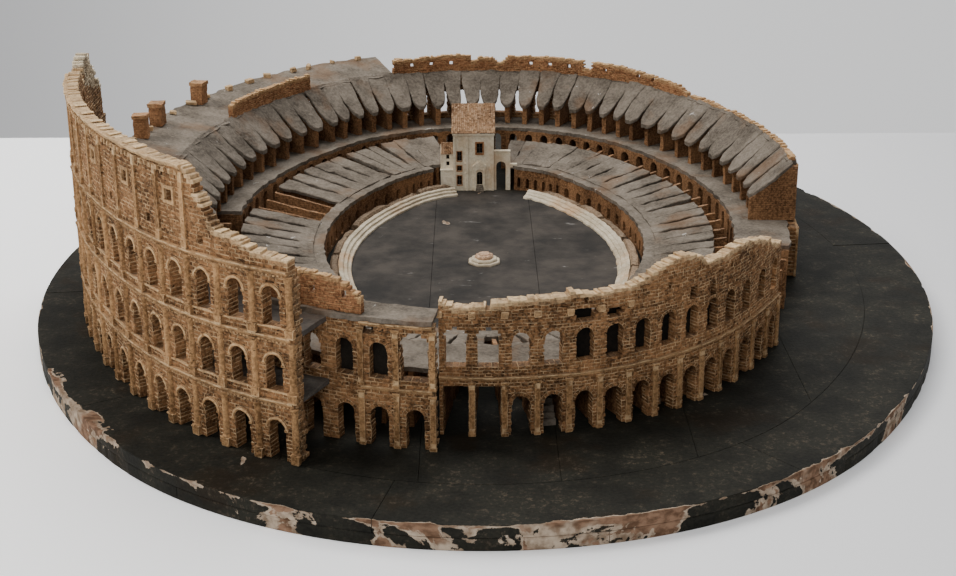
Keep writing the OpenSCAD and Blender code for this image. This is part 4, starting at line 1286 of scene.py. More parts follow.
UPPER_PIERS = piers_in(*UPPER)
split_at = FAR + 5.5
for node, here in (("upper_slabs_back", [t for t in UPPER_PIERS if t < split_at - 0.01]),
                   ("upper_slabs_left", [t for t in UPPER_PIERS if t > split_at - 0.01])):
    placed = [(t, upper_kind(t)) for t in here]
    laid(node, slab_groups(node, UPPER_INSET, UPPER_FOOT, FACADE_BACK - 3, TERRACE + 2.6, placed,
                           UPPER_OUTLINES, GREY), "grey_plaster", worn=((7, 0.4),))

SEAT_SLOPE = (GALLERY - PODIUM - 13) / (PODIUM_INSET - 15 - GALLERY_INSET)
for node, t0, t1 in (("lower_slabs_left", FAR + 3, NEAR + 0.2),
                     ("lower_slabs_right", NEAR + 0.8, BAYS + FAR - 2.4)):
    placed = [(t % BAYS, lower_kind(t % BAYS)) for t in piers_in(t0, t1)
              if t0 < t < t1 and not LEFT - 4.8 < t < LEFT - 2.2]
    # on the right the slabs stop short of the gallery
    seat_out = GALLERY_INSET + (19 if node.endswith("right") else 5)
    seat_top = PODIUM + 5 + SEAT_SLOPE * (SEAT_INSET - seat_out)
    laid(node, slab_groups(node, SEAT_INSET, PODIUM + 5, seat_out, seat_top, placed,
                           LOWER_OUTLINES, GREY), "grey_plaster", worn=((7, 0.4),))

# radial walls under the seating
UPPER_WALLS = [wall_shape("upper_wall_%d" % k, PIER_INSET - FACADE_BACK, 0, UPPER_FOOT - GALLERY - 1.5,
                          TERRACE - GALLERY - 4, 3.6, 2.6, seed=60 + 5 * k) for k in range(3)]
rows = [((*spot(PIER_INSET, t), GALLERY), plan(t)[2], (1, 1, 1), 0.0) for t in UPPER_PIERS]
laid("upper_walls", [(shape, part, PIER_OCHRE, 0.4, 0.02) for shape, part in zip(UPPER_WALLS, pick(rows, 3))],
     "red_cork", worn=((5, 0.3),))

LOWER_WALLS = [wall_shape("lower_wall_%d" % k, SEAT_INSET - GALLERY_INSET - 6, 0, PODIUM + 1,
                          GALLERY - 13, 3.6, 0, 12, seed=80 + 5 * k) for k in range(2)]
CORRIDOR_WALLS = [wall_shape("corridor_wall_%d" % k, ARCADE_INSET - FACADE_BACK, 0, GALLERY - SLAB,
                             GALLERY - SLAB, 3.6, 0, 8, seed=90 + 5 * k) for k in range(2)]
seat_piers = piers_in(FAR + 3.4, BAYS + FAR - 2.3)
groups = []
for shapes, d_in in ((LOWER_WALLS, SEAT_INSET), (CORRIDOR_WALLS, ARCADE_INSET)):
    rows = [((*spot(d_in, t), 0), plan(t)[2], (1, 1, 1), 0.0) for t in seat_piers]
    groups += [(shape, part, PIER_OCHRE, 0.2, 0.01) for shape, part in zip(shapes, pick(rows, 2))]
laid("lower_walls", groups, "cork", worn=((5, 0.3),))


def panel_rows(d, t0, t1, wide):
    """Places for one panel in each bay, stretched from its width to the bay's."""
    return [((*bay_place(d, t)[0], 0), bay_place(d, t)[1], (1, bay_width(d, t) / wide, 1), 0.0)
            for t in bays_in(t0, t1)]


PANEL_THICK, GALLERY_PANEL, PODIUM_PANEL = 6, 24, 14
GALLERY_PANELS = [panel_shape("gallery_panel_%d" % k, GALLERY_PANEL, GALLERY - SLAB, PANEL_THICK, 5.6, 0,
                              GALLERY - 13, 100 + k) for k in range(2)]
PODIUM_PANELS = [panel_shape("podium_panel_%d" % k, PODIUM_PANEL, PODIUM, PANEL_THICK, 2.4, 3, 13, 110 + k)
                 for k in range(3)]
for node, panels, rows, shift in (
        ("gallery_arcade", GALLERY_PANELS, panel_rows(ARCADE_INSET, *GALLERY_SPAN, GALLERY_PANEL), 0.2),
        ("podium_wall", PODIUM_PANELS, panel_rows(PODIUM_INSET - 6, *PODIUM_SPAN, PODIUM_PANEL), 0.15)):
    laid(node, [(shape, part, PIER_OCHRE, shift, 0.0)
                for shape, part in zip(panels, pick(rows, len(panels)))], "cork")
PATTERNS += UPPER_WALLS + LOWER_WALLS + CORRIDOR_WALLS + GALLERY_PANELS + PODIUM_PANELS


def level(z):
    """A floor's height that is the same everywhere."""
    return lambda d, t: z


def terrace_climb(d, t):
    """The terrace's height where it climbs outwards, at the rear and on the left."""
    return TERRACE + TERRACE_RISE * (FACADE_BACK - d) / (FACADE_BACK - REAR_INSET)


for node, d0, d1, ends, top, edges in (
        ("gallery_floor", GALLERY_INSET, FACADE_BACK - 1, GALLERY_SPAN, GALLERY, {}),
        ("near_deck", GALLERY_INSET, FACADE_BACK - 1, (LEFT + 7.5, BAYS - 6.5), GALLERY, {}),
        ("podium_lip", PODIUM_INSET + 1, PODIUM_INSET - 12, (FAR + 5.45, BAYS + FAR - 2.9), PODIUM + 4,
         {"cells": 3, "ragged": (0.5, 0.5)})):
    keep(band(node + "_made", d0, d1, *ends, level(top), GREY, **edges), "grey_plaster", node)

flat = band("terrace_made", FACADE_BACK, FACADE_INSET, UPPER[0], REAR[0], level(TERRACE), GREY, 3)
rear = band("terrace_rear", FACADE_BACK, REAR_INSET, *REAR, terrace_climb, GREY, 12)
side = band("terrace_side", FACADE_BACK, OUTER_THICK + 1, OUTER[0], UPPER[1], terrace_climb, GREY, 14)
keep(join("terrace_made", [flat, rear, side]), "grey_plaster", "terrace")
keep(band("middle_terrace_made", FACADE_INSET + 1, MIDDLE_INSET - 1, LEFT + 7.5, MIDDLE_END,
          level(FLOOR_2 + SLAB), GREY), "grey_plaster", "middle_terrace")
# The corridor floors are in dark grey plaster, painted shade inside the corridors.
corridors = [band("corridor_%d" % i, MIDDLE_INSET, OUTER_THICK, *OUTER, level(z), DARK_GREY)
             for i, z in enumerate((FLOOR_1, FLOOR_2))]
keep(join("corridor_floors_made", corridors), "grey_plaster", "corridor_floors")

# ---- brick walls and stacks on the terrace ----
BACK_WALL = profile_at([(8, 108), (8.9, 121), (10, 123), (12.2, 127), (12.4, 127), (14.2, 128), (14.3, 119),
                        (14.7, 119), (14.8, 128), (18.6, 129), (18.9, 120), (19.2, 120), (19.35, 126),
                        (20.1, 126), (20.25, 121), (20.4, 121), (20.6, 129.5), (22, 130), (23.4, 127),
                        (25, 127)])
PARAPET = profile_at([(-0.5, 114.5), (0.6, 112.6), (1.4, 114.8), (2.6, 112.3), (3.5, 114.2), (4.4, 113),
                      (5.2, 115), (6.1, 112.2), (7.2, 114.6), (8.5, 113.6)])


def back_wall_holes(t):
    """Small square holes beside some of the piers, through which the sky shows."""
    w = bay_width(BRICK_INSET, t)
    lit = [s for s, pier in ((1, t + 0.5), (-1, t - 0.5)) if pier in
           (10.5, 11.5, 13.5, 15.5, 16.5, 17.5, 21.5, 22.5, 23.5, 24.5)]
    return [(s * w / 2, 2.6, TERRACE + 7, TERRACE + 12.5, False) for s in lit]


laid("back_brick_wall", [
    (STONE, stone_rows(BRICK_INSET, 6, TERRACE - 1, 131, UPPER[0] + 9, REAR[0], top=BACK_WALL,
                       holes=back_wall_holes, course=2.2, length=4.6), RED_BRICK, 0.12, 0.012),
    (STONE, stone_rows(FACADE_INSET + 1, 6, TERRACE - 0.6, TERRACE + 5, UPPER[0], UPPER[0] + 9,
                       top=PARAPET, course=1.9, length=4.2), RED_BRICK, 0.3, 0.03),
], "red_cork", worn=((6, 0.5), (1.7, 0.25)))

LEFT_WALL = profile_at([(29, 126), (30, 128), (34, 127), (34.6, 123), (41, 121), (42.4, 127), (43.6, 126)])
laid("left_brick_wall", [
    (STONE, stone_rows(BRICK_INSET, 6, TERRACE, 130, LEFT - 10.5, LEFT - 5.5, top=LEFT_WALL,
                       course=2.2, length=4.6), RED_BRICK, 0.12, 0.012),
    (STONE, stone_rows(BRICK_INSET, 6, TERRACE, 130, LEFT + 1.5, LEFT + 3.5, top=LEFT_WALL,
                       course=2.4, length=5), OCHRE, 0.12, 0.012),
], "red_cork", worn=((6, 0.5), (1.7, 0.25)))

stack_verts, stack_faces = box_shell((-7, -7, 0), (7, 7, 20), (4, 4, 7))
cap_verts, cap_faces = box_shell((-8, -8, 20.1), (8, 8, 24), (4, 4, 2))
# the caps are marked half light, partly as wear and partly as painted highlight
STACK = set_edges(new_object("stack", *joined([(stack_verts, stack_faces), (cap_verts, cap_faces)])),
                  [0.0] * len(stack_faces) + [0.5] * len(cap_faces))
stack_d = REAR_INSET + 8
laid("brick_stacks", [
    (STACK, [((*spot(stack_d, t), terrace_climb(stack_d, t)), plan(t)[2] + 0.1, (1, 1, 1), 0.15)
             for t in (LEFT - 1.5, LEFT - 3, LEFT - 6)], RED_BRICK, 0.0, 0.03),
], "red_cork", worn=((6, 0.7), (2, 0.3)))

lumps = [((*spot(REAR_INSET + 3 + 4 * rng.random(), REAR[0] + 0.6 + 1.15 * i + 0.4 * rng.random()),
           TERRACE + 13), rng.uniform(0, 3),
          (rng.uniform(3, 7), rng.uniform(5, 12), rng.uniform(3, 6)), 0.6) for i in range(13)]
lumps.append(((*spot(FACADE_BACK - 8, FAR + 4.1), TERRACE + 11), plan(FAR + 4.1)[2], (9, 10, 14), 0.4))
laid("rubble", [(STONE, lumps, LIGHT_OCHRE, 0.3, 0.1)], "light_cork", worn=((5, 1.0), (2, 0.5)))
PATTERNS.append(STACK)

# ---- ruined ends ----
for node, t, slot in (("end_wall_right", UPPER[0] - 0.3, "red_cork"),
                      ("end_wall_left", UPPER[1] + 0.4, "cork")):
    verts, faces = box_shell((0, -0.5, 0), (1, 0.5, 1), (10, 2, 10))
    x, y, z = verts.T
    top = np.interp(x, [0, 0.78, 1], [UPPER_FOOT - 4, TERRACE - 3, TERRACE - 3])
    inner = UPPER_INSET - (UPPER_INSET - FACADE_INSET) * x
    shaped = []
    for k in range(len(verts)):
        centre, angle = spot(inner[k], t), plan(t)[2]
        shaped.append((centre[0] - math.sin(angle) * y[k] * 6, centre[1] + math.cos(angle) * y[k] * 6,
                       GALLERY + z[k] * (top[k] - GALLERY)))
    piece = new_object(node + "_made", wobble(np.array(shaped), 6, 0.5, 3), faces, PIER_OCHRE, TOP)
    keep(piece, slot, node)


# ---- the board: planks, and a rim of two layers of segments ----
def paint_finish(name):
    """Dark paint over gesso over brown wood. The mesh says how bare each place is."""
    mat, tree, shader, place, _ = start_finish(name, 0.62)
    skin = use(tree, GREY_SKIN, Place=place, Deep_colour=(0.008, 0.0078, 0.0062),
               Light_colour=(0.024, 0.023, 0.017), Scuffs=0.0)
    brown = span(tree, grain(tree, place, 30, 8, 0.7), 0.42, 0.72, 0, 0.75)
    speck = span(tree, grain(tree, place, 260, 4, 0.7), 0.52, 0.66)
    mottled = blend(tree, maths(tree, "MULTIPLY", brown, speck), skin.outputs["Colour"],
                    (0.115, 0.088, 0.06))
    arena = blend(tree, span(tree, grain(tree, place, 26, 6, 0.6), 0.3, 0.75), (0.022, 0.02, 0.018),
                  (0.066, 0.056, 0.047))
    streak = tree.nodes.new("ShaderNodeMapping")
    streak.inputs["Scale"].default_value = (0.55, 1.5, 1)
    streak.inputs["Rotation"].default_value = (0, 0, 0.3)
    tree.links.new(place, streak.inputs["Vector"])
    scuffed = span(tree, grain(tree, streak.outputs[0], 46, 9, 0.7, 0.4), 0.63, 0.72, 0, 0.7)
    arena = blend(tree, scuffed, arena, (0.4, 0.38, 0.36))
    ground = blend(tree, mesh_value(tree, "arena"), mottled, arena)
    level = maths(tree, "ADD", grain(tree, place, 19, 9, 0.6, 0.35),
                  maths(tree, "MULTIPLY", mesh_value(tree, "bare"), 0.36))
    chip = span(tree, level, 0.715, 0.722)
    deep = span(tree, level, 0.75, 0.765)
    wood = blend(tree, span(tree, grain(tree, streak.outputs[0], 150, 5), 0.35, 0.65),
                 (0.1, 0.055, 0.032), (0.25, 0.15, 0.095))
    gesso = blend(tree, span(tree, grain(tree, place, 120, 5), 0.3, 0.7),
                  (0.18, 0.125, 0.082), (0.46, 0.37, 0.28))
    more_gesso = span(tree, grain(tree, place, 15, 4), 0.5, 0.58)
    to_wood = maths(tree, "MULTIPLY", deep, maths(tree, "SUBTRACT", 1.0, more_gesso))
    under = blend(tree, to_wood, gesso, wood)
    colour = blend(tree, chip, ground, under)
    tree.links.new(colour, shader.inputs["Base Color"])
    rough = tree.nodes.new("ShaderNodeMix")
    rough.inputs[2].default_value, rough.inputs[3].default_value = 0.72, 0.9
    tree.links.new(chip, rough.inputs[0])
    tree.links.new(rough.outputs[0], shader.inputs["Roughness"])
    height = maths(tree, "SUBTRACT", maths(tree, "MULTIPLY", skin.outputs["Height"], 0.35),
                   maths(tree, "MULTIPLY", chip, 0.8))
    relief(tree, shader, height, 0.7, 0.6)
    return mat


PAINT = paint_finish("painted_board")
BOARD_A, BOARD_L = HALF_WIDTH + BOARD_MARGIN, STRETCH + BOARD_EXTRA


def board_spot(d, facing):
    """The place on the board at inset d from its edge, where the edge faces a given angle."""
    facing %= 2 * math.pi
    if facing <= JOIN or facing >= 2 * math.pi - JOIN:
        centre, radius = (-2 * BOARD_L, 0), BOARD_A + 2 * BOARD_L
    elif abs(facing - math.pi) <= JOIN:
        centre, radius = (2 * BOARD_L, 0), BOARD_A + 2 * BOARD_L
    else:
        centre = (0, math.copysign(1.5 * BOARD_L, math.pi - facing))
        radius = BOARD_A - 0.5 * BOARD_L
    return centre[0] + (radius - d) * math.cos(facing), centre[1] + (radius - d) * math.sin(facing)


FACING_STEPS = 2880
FACINGS = np.linspace(0, 2 * math.pi, FACING_STEPS + 1)
POLAR = np.unwrap([math.atan2(*board_spot(0, f)[::-1]) for f in FACINGS])


def facing_of(polar):
    return float(np.interp(polar % (2 * math.pi), POLAR, FACINGS))


def set_floats(obj, label, values):
    obj.data.attributes.new(label, "FLOAT", "POINT").data.foreach_set("value", np.asarray(values, float))


# The board's mean radius, and the direction in degrees of the rim's barest stretch
MEAN_RADIUS = 440
CHIPPED_AT = 214


def rim_segment(a0, a1, layer):
    """One segment of the rim between two polar angles; layer 1 lies on layer 0."""
    z0, z1 = (TOP / 2, TOP) if layer else (0, TOP / 2 - 0.15)
    ds = [RIM_WIDTH - 0.4, 50, 40, 32, 25, 19, 14, 10, 7, 4.5, 2.5, 1.1, 0.35]
    section = [(d, z1, 1) for d in ds] + [(0, z1 - 0.9, 1), (0, z1 - 3.3, 1), (0, z1 - 5.6, 1),
                                          (0, z0 + 2.4, 1), (0.2, z0 + 0.6, 1), (0.9, z0, 0),
                                          (RIM_WIDTH - 0.4, z0, 0)]
    count = max(8, int(abs(a1 - a0) * MEAN_RADIUS / 3.2))
    gap = 0.25 / MEAN_RADIUS
    rings, bare = [], []
    for i in range(count + 1):
        facing = facing_of(a0 + gap + (a1 - a0 - 2 * gap) * i / count)
        where = np.array([[*board_spot(0, facing), layer * 9.0]])
        off = (math.degrees(a0 + (a1 - a0) * i / count) - CHIPPED_AT) % 360 / 30
        broad = float(noise(where, 95, 3)[0])
        bite = max(0.0, float(noise(where, 21, 7)[0]) + 0.45 * float(noise(where, 6, 8)[0]) - 0.42)
        ring = []
        for d, z, outer in section:
            near = max(0.0, 1 - d / 7.0) * outer
            high = 1 - min(1.0, (z1 - z) / 6.0) if layer else min(1.0, (z1 - z) / 6.0)
            depth = bite * 3.4 * near * (high if layer else 0.6)
            x, y = board_spot(d + depth, facing)
            ring.append((x, y, z - (depth * 0.45 if layer and outer else 0)))
            arris = max(0.0, 1 - (z1 - z) / 4.0) if layer else 0.0
            patch = max(0.0, 1 - off) if d < 12 else 0
            if z > z1 - 0.5 and layer:
                bare.append(0.06 + 0.52 * math.exp(-d / 2.6) + 0.3 * broad * math.exp(-d / 6.0)
                            + 0.5 * depth / 3.4 + 0.75 * patch)
            else:
                bare.append(0.47 + 0.25 * broad + 0.34 * arris + 0.4 * depth / 3.4 + 0.2 * patch)
        rings.append(ring)
    verts, faces = tube(rings)
    return verts, faces, bare


def rim_piece(node, layer, turn):
    shells, bare = [], []
    for i in range(RIM_SEGMENTS):
        a0 = math.radians(turn + 360 * i / RIM_SEGMENTS)
        verts, faces, bareness = rim_segment(a0, a0 + 2 * math.pi / RIM_SEGMENTS, layer)
        # each segment has settled a little by itself
        shells.append((verts + (0, 0, -0.35 * abs(math.sin(i * 2.3)) if layer else 0.0), faces))
        bare += bareness
    piece = new_object(node + "_made", *joined(shells), PAINT)
    set_floats(piece, "bare", bare)
    set_floats(piece, "arena", np.zeros(len(bare)))
    return piece


keep(rim_piece("board_rim_upper", 1, 9), "painted_board", "board_rim_upper")
keep(rim_piece("board_rim_lower", 0, 27), "worn_board_edge", "board_rim_lower")


def plate(grid, thick):
    """A closed plate under a grid of top points."""
    grid = np.asarray(grid, float)
    n, m = grid.shape[:2]
    under = grid - (0, 0, thick)
    verts = np.concatenate([grid.reshape(-1, 3), under.reshape(-1, 3)])
    low = n * m
    faces = []
    for i in range(n - 1):
        for j in range(m - 1):
            quad = (i * m + j, (i + 1) * m + j, (i + 1) * m + j + 1, i * m + j + 1)
            faces += [quad[::-1], tuple(k + low for k in quad)]
    rim = [i * m for i in range(n)] + [(n - 1) * m + j for j in range(1, m)]
    rim += [i * m + m - 1 for i in range(n - 2, -1, -1)] + list(range(m - 2, 0, -1))
    faces += [(a, b, b + low, a + low) for a, b in zip(rim, rim[1:] + rim[:1])]
    return verts, faces


def plank(x0, x1):
    """One plank, cut to the oval inside the rim."""
    curve = np.array([board_spot(RIM_WIDTH - 0.1, f) for f in FACINGS[:FACING_STEPS // 2 + 1]])
    half = curve[0][0] - 0.02
    xs = half * np.sin(np.linspace(math.asin(max(-1, (x0 + 0.2) / half)),
                                   math.asin(min(1, (x1 - 0.2) / half)), 19))
    reach = np.interp(-xs, -curve[:, 0], curve[:, 1])
    return plate([[(x, s * y, TOP) for x, y in zip(xs, reach)] for s in np.linspace(-1, 1, 61)], TOP)


plank_a = BOARD_A - RIM_WIDTH
edges = np.linspace(-plank_a - 0.2, plank_a + 0.2, PLANKS + 1)
planks = new_object("board_planks_made", *joined([plank(a, b) for a, b in zip(edges[:-1], edges[1:])]), PAINT)
flat = np.zeros(len(planks.data.vertices) * 3)
planks.data.vertices.foreach_get("co", flat)
ground = flat.reshape(-1, 3) / MM


def inset_of(points):
    """How far inside the outer facade each place is."""
    ts = np.linspace(0, BAYS, 641)
    rim = np.array([spot(0, t) for t in ts])
    out = np.array([(math.cos(plan(t)[2]), math.sin(plan(t)[2])) for t in ts])
    result = []
    for p in points[:, :2]:
        k = int(np.argmin(((rim - p) ** 2).sum(1)))
        result.append(float((rim[k] - p) @ out[k]))
    return np.array(result)


insets = inset_of(ground)
set_floats(planks, "arena", np.clip((insets - 228) / 14, 0, 1))
set_floats(planks, "bare", np.full(len(insets), 0.02))
keep(planks, "painted_board", "board_planks")


# ---- arena ----
def sweep(name, profile, t0, t1, finish, worn, step=0.3):
    """A profile of (inset, height) points carried along the plan."""
    count = max(4, int((t1 - t0) / step))
    rings = []
    for i in range(count + 1):
        t = t0 + (t1 - t0) * i / count
        rings.append([(*spot(d, t), z) for d, z in profile])
    return wear(new_object(name, *tube(rings), finish, TOP), *worn)


back = STEPS_INSET - 12
step_profile = [(back - 0.5, 0), (255, 0), (255, 2.0), (254.4, 2.6), (251.4, 2.7), (251, 3.0), (251, 4.8),
                (250.4, 5.3), (247.4, 5.4), (247, 5.7), (247, 7.3), (246.4, 7.8), (back - 0.5, 7.8)]
keep(sweep("arena_steps_left_made", step_profile, FAR + 3.5, NEAR - 3.5, PALE, worn=(7, 0.45)),
     "pale_plaster", "arena_steps_left")
worn_profile = [(back - 0.5, 0), (255, 0), (254.6, 1.6), (253, 2.5), (251, 2.8), (250.6, 4.2), (249, 5.0),
                (247, 5.4), (246.6, 6.4), (245.6, 7.2), (back - 0.5, 7.8)]
keep(sweep("arena_steps_right_made", worn_profile, NEAR + 2.5, BAYS + FAR - 6, PALE, worn=(5, 0.9)),
     "pale_plaster", "arena_steps_right")


def kerb_blocks(t0, t1):
    """Long broken blocks of coping between the steps and the podium."""
    shells, t = [], t0
    while t < t1 - 1:
        long = rng.uniform(2.2, 4.6)
        high, wide, shift = rng.uniform(7, 11), rng.uniform(8, 10), rng.uniform(-0.6, 0.6)
        end = min(t + long, t1)
        rings = []
        for k, u in enumerate(np.linspace(t, end - 0.12, 9)):
            h = high * (0.82 if k in (0, 8) else 1) * rng.uniform(0.93, 1.04)
            d0, d1 = back - 1 + shift, back - 1 - wide + shift
            rings.append([(*spot(d, u), z) for d, z in ((d0, 0), (d0, h * 0.75), (d0 - 1.6, h), (d1 + 1.8, h),
                                                        (d1, h * 0.7), (d1, 0))])
        shells.append(tube(rings))
        t = end + rng.choice([0.05, 0.1, 0.5])
    return shells


kerb_shells = kerb_blocks(FAR + 3.8, NEAR - 4) + kerb_blocks(NEAR + 4, BAYS + FAR - 7)
KERB = cork_finish("kerb_cork", (0.1, 0.065, 0.04), (0.34, 0.24, 0.155), 0.9, edge=(0.5, 0.4, 0.28))
kerb = new_object("coping_blocks_made", *joined(kerb_shells), KERB, TOP)
wear(kerb, 5, 1.0, 3)
wear(kerb, 1.8, 0.35, 4)
keep(kerb, "red_cork", "coping_blocks")


def ring_of(radius, z, sides, turn=0.0):
    """A regular ring of points about the arena's middle."""
    angles = [turn + 2 * math.pi * k / sides for k in range(sides)]
    return [(radius * math.cos(a), radius * math.sin(a) + BACK, z) for a in angles]


octagon = math.pi / 8
base = new_object("centre_base_made", *tube([
    ring_of(r, z, 8, octagon) for r, z in ((17, 0), (17.2, 1.2), (16.4, 2.4), (13.6, 2.5), (13.8, 3.8),
                                           (12.8, 5.0), (4, 5.1))]), PALE, TOP)
keep(wear(base, 5, 0.4), "pale_plaster", "centre_base")
stump = new_object("centre_stump_made", *tube([ring_of(r, z, 14) for r, z in (
    (9.4, 5.0), (9.6, 6.6), (8.6, 8.0), (6.5, 8.6), (5.5, 9.8), (2, 9.9))]),
    cork_finish("stump_cork", (0.3, 0.17, 0.1), (0.72, 0.5, 0.34), 0.3), TOP)
keep(wear(stump, 4, 1.0), "red_cork", "centre_stump")

# ---- stairs inside the near facade ----
STAIRS, TREAD, STAIR_RISE = 10, 4.1, 4.4
FLIGHT = set_edges(new_object("flight", *joined([
    box_shell((-42 + TREAD * k, -6, 0), (-42 + TREAD * (k + 1), 6, STAIR_RISE * (STAIRS - k) + 0.4),
              (1, 3, 2)) for k in range(STAIRS)])))
flight_rows = [((*bay_place(FACADE_BACK + 2, t)[0], 0), bay_place(FACADE_BACK + 2, t)[1], (1, 1, 1), 0.0)
               for t in (NEAR + 2, NEAR + 6, NEAR + 10, LEFT - 4)]
laid("stair_flights", [(FLIGHT, flight_rows, GREY, 0.0, 0.0)], "grey_plaster")
PATTERNS.append(FLIGHT)


# ---- chapel ----
CHAPEL_X, CHAPEL_Y = -10.0, HALF_WIDTH + STRETCH - PODIUM_INSET - 8 + BACK
CHAPEL_W, CHAPEL_DEEP, EAVES, ROOF_RISE = 47.0, 74.0, 69.0, 24.0
ANNEX_W, ANNEX_HIGH, ANNEX_BACK, ANNEX_DEEP, ANNEX_RISE = 15.0, 44.0, 5.0, 14.0, 9.0
DOOR_X = CHAPEL_X + 7
# The door's half width, its sill over the steps, and the springing of its arch
DOOR_HALF, DOOR_FOOT, DOOR_SPRING = 3.3, 7, 19.5
# How far the windows are cut in, and where the dark sheets of painted shade behind them start
CUT_IN, DARK_IN = 2.2, 2.0


def carved(name, solid, cutters, finish):
    """A solid with cutters taken out of it, both lists of shells."""
    body = new_object(name, *joined(solid), finish, TOP)
    tool = new_object(name + "_cutter", *joined(cutters), finish, TOP)
    cut = body.modifiers.new("cut", "BOOLEAN")
    cut.operation, cut.object, cut.solver = "DIFFERENCE", tool, "EXACT"
    graph = bpy.context.evaluated_depsgraph_get()
    result = bpy.data.meshes.new_from_object(body.evaluated_get(graph), depsgraph=graph)
    body.modifiers.clear()
    body.data = result
    drop(tool)
    return body


def block(x0, x1, y0, y1, z0, z1):
    """A box in the chapel's own directions: y is counted back from the chapel's front."""
    return box_shell((x0, CHAPEL_Y + y0, z0), (x1, CHAPEL_Y + y1, z1))


def arch_block(x, half, y0, y1, foot, spring):
    """A round-headed cutter or panel across the front wall."""
    outline = [(x + half, foot)] + [(x + half * math.cos(a), spring + half * math.sin(a))
                                    for a in np.linspace(0, math.pi, 13)] + [(x - half, foot)]
    return tube([[(px, CHAPEL_Y + y, pz) for px, pz in outline] for y in (y0, y1)])


def gable_block(x0, x1, y0, y1, z, rise, out=0.0):
    """A gable roof's solid with its ridge along X, its eaves carried out by out."""
    deep = (y1 - y0) / 2
    drop_z = out * rise / deep
    section = [(y0 - out, z - drop_z), (y0 + deep, z + rise), (y1 + out, z - drop_z)]
    return tube([[(x, CHAPEL_Y + y, h) for y, h in section] for x in (x0, x1)])


TERRACOTTA = cork_finish("terracotta_trim", (0.2, 0.085, 0.035), (0.5, 0.26, 0.12), 0.4)
TILES = cork_finish("roof_tiles", (0.12, 0.06, 0.03), (0.4, 0.24, 0.13), 0.45, edge=(0.66, 0.46, 0.3))

left, right = CHAPEL_X - CHAPEL_W / 2, CHAPEL_X + CHAPEL_W / 2
window_holes = [(DOOR_X, 3.4, EAVES - 24, EAVES - 12)]
window_holes += [(left + 7, 2.6, z, z + h) for z, h in ((7, 11), (24, 6), (36, 11))]
cutters = [block(x - h, x + h, -1, CUT_IN, z0, z1) for x, h, z0, z1 in window_holes]
cutters.append(arch_block(DOOR_X, DOOR_HALF, -1, CUT_IN, DOOR_FOOT, DOOR_SPRING))
walls = carved("chapel_tower_made", [block(left, right, 0, CHAPEL_DEEP, 0, EAVES - 0.5)], cutters, CREAM)
string_end = left + 14.4
trims = [
    gable_block(left + 0.2, right - 0.2, 0.2, CHAPEL_DEEP - 0.2, EAVES - 0.5, ROOF_RISE),
    block(left - 0.2, left + 2.2, -0.9, 2, 0, EAVES - 3),
    block(right - 2.8, right + 0.2, -0.9, 2, 0, EAVES - 3),
    block(string_end, left + 17.2, -0.9, 1, 0, EAVES - 3),
    block(left - 0.8, right + 0.8, -1.4, 1.5, EAVES - 3, EAVES - 1.6),
    block(left - 1.2, right + 1.2, -1.9, 1.5, EAVES - 1.6, EAVES - 0.2),
    block(left, string_end, -0.5, 1, 20.5, 21.5),
    block(left, string_end, -0.5, 1, 32.5, 33.4),
]
trim = new_object("chapel_trim", *joined(trims), CREAM, TOP)
frames = []
for x, h, z0, z1 in window_holes:
    w, out = (1.7, -0.8) if h > 3 else (0.9, -0.5)
    frames += [
        block(x - h - w, x - h, out, 1, z0 - w, z1 + w), block(x + h, x + h + w, out, 1, z0 - w, z1 + w),
        block(x - h, x + h, out, 1, z1, z1 + w), block(x - h - 0.4, x + h + 0.4, out - 0.4, 1, z0 - w, z0),
    ]
window_trim = new_object("window_trim", *joined(frames), TERRACOTTA, TOP)
# dark sheets of painted shade behind the windows and the door, for the chapel's dark inside
backs = [block(x - h, x + h, DARK_IN, DARK_IN + 0.3, z0, z1) for x, h, z0, z1 in window_holes]
backs.append(arch_block(DOOR_X, DOOR_HALF, DARK_IN, DARK_IN + 0.3, DOOR_FOOT, DOOR_SPRING))
window_shade = new_object("window_dark", *joined(backs), DARK, TOP)
lattice = []
for x, h, z0, z1 in window_holes:
    lattice += [block(x - 0.25, x + 0.25, 1.5, 1.9, z0, z1),
                block(x - h, x + h, 1.5, 1.9, (z0 + z1) / 2 - 0.25, (z0 + z1) / 2 + 0.25)]
lattice += [block(DOOR_X - 0.2, DOOR_X + 0.2, 1.5, 1.9, DOOR_FOOT, 22.5),
            block(DOOR_X - DOOR_HALF, DOOR_X + DOOR_HALF, 1.5, 1.9, 19, DOOR_SPRING)]
lattice = new_object("window_bars", *joined(lattice), DARK_GREY, TOP)
keep(join("chapel_tower_made", [walls, trim, window_trim, window_shade, lattice]), "cream_plaster", "chapel_tower")

annex_left = left - ANNEX_W
annex_x = annex_left + ANNEX_W / 2 + 1
annex_windows = [(annex_x, 1.8, z, z + 5) for z in (29, 37)]
annex_rear = ANNEX_BACK + ANNEX_DEEP
annex = carved("chapel_annex_made", [block(annex_left, left, ANNEX_BACK, annex_rear, 0, ANNEX_HIGH)],
               [block(x - h, x + h, ANNEX_BACK - 1, ANNEX_BACK + 1.8, z0, z1)
                for x, h, z0, z1 in annex_windows], CREAM)
fore = new_object("annex_fore", *joined([
    gable_block(annex_left, left, ANNEX_BACK, annex_rear, ANNEX_HIGH, ANNEX_RISE),
    block(annex_left, left - 0.2, 0, ANNEX_BACK, 0, PODIUM - 1),
    block(annex_left - 0.5, left - 0.3, -0.7, ANNEX_BACK, PODIUM - 1, PODIUM + 0.4),
    block(annex_left, annex_left + 1.5, ANNEX_BACK - 0.7, ANNEX_BACK + 1, PODIUM, ANNEX_HIGH)]), CREAM, TOP)
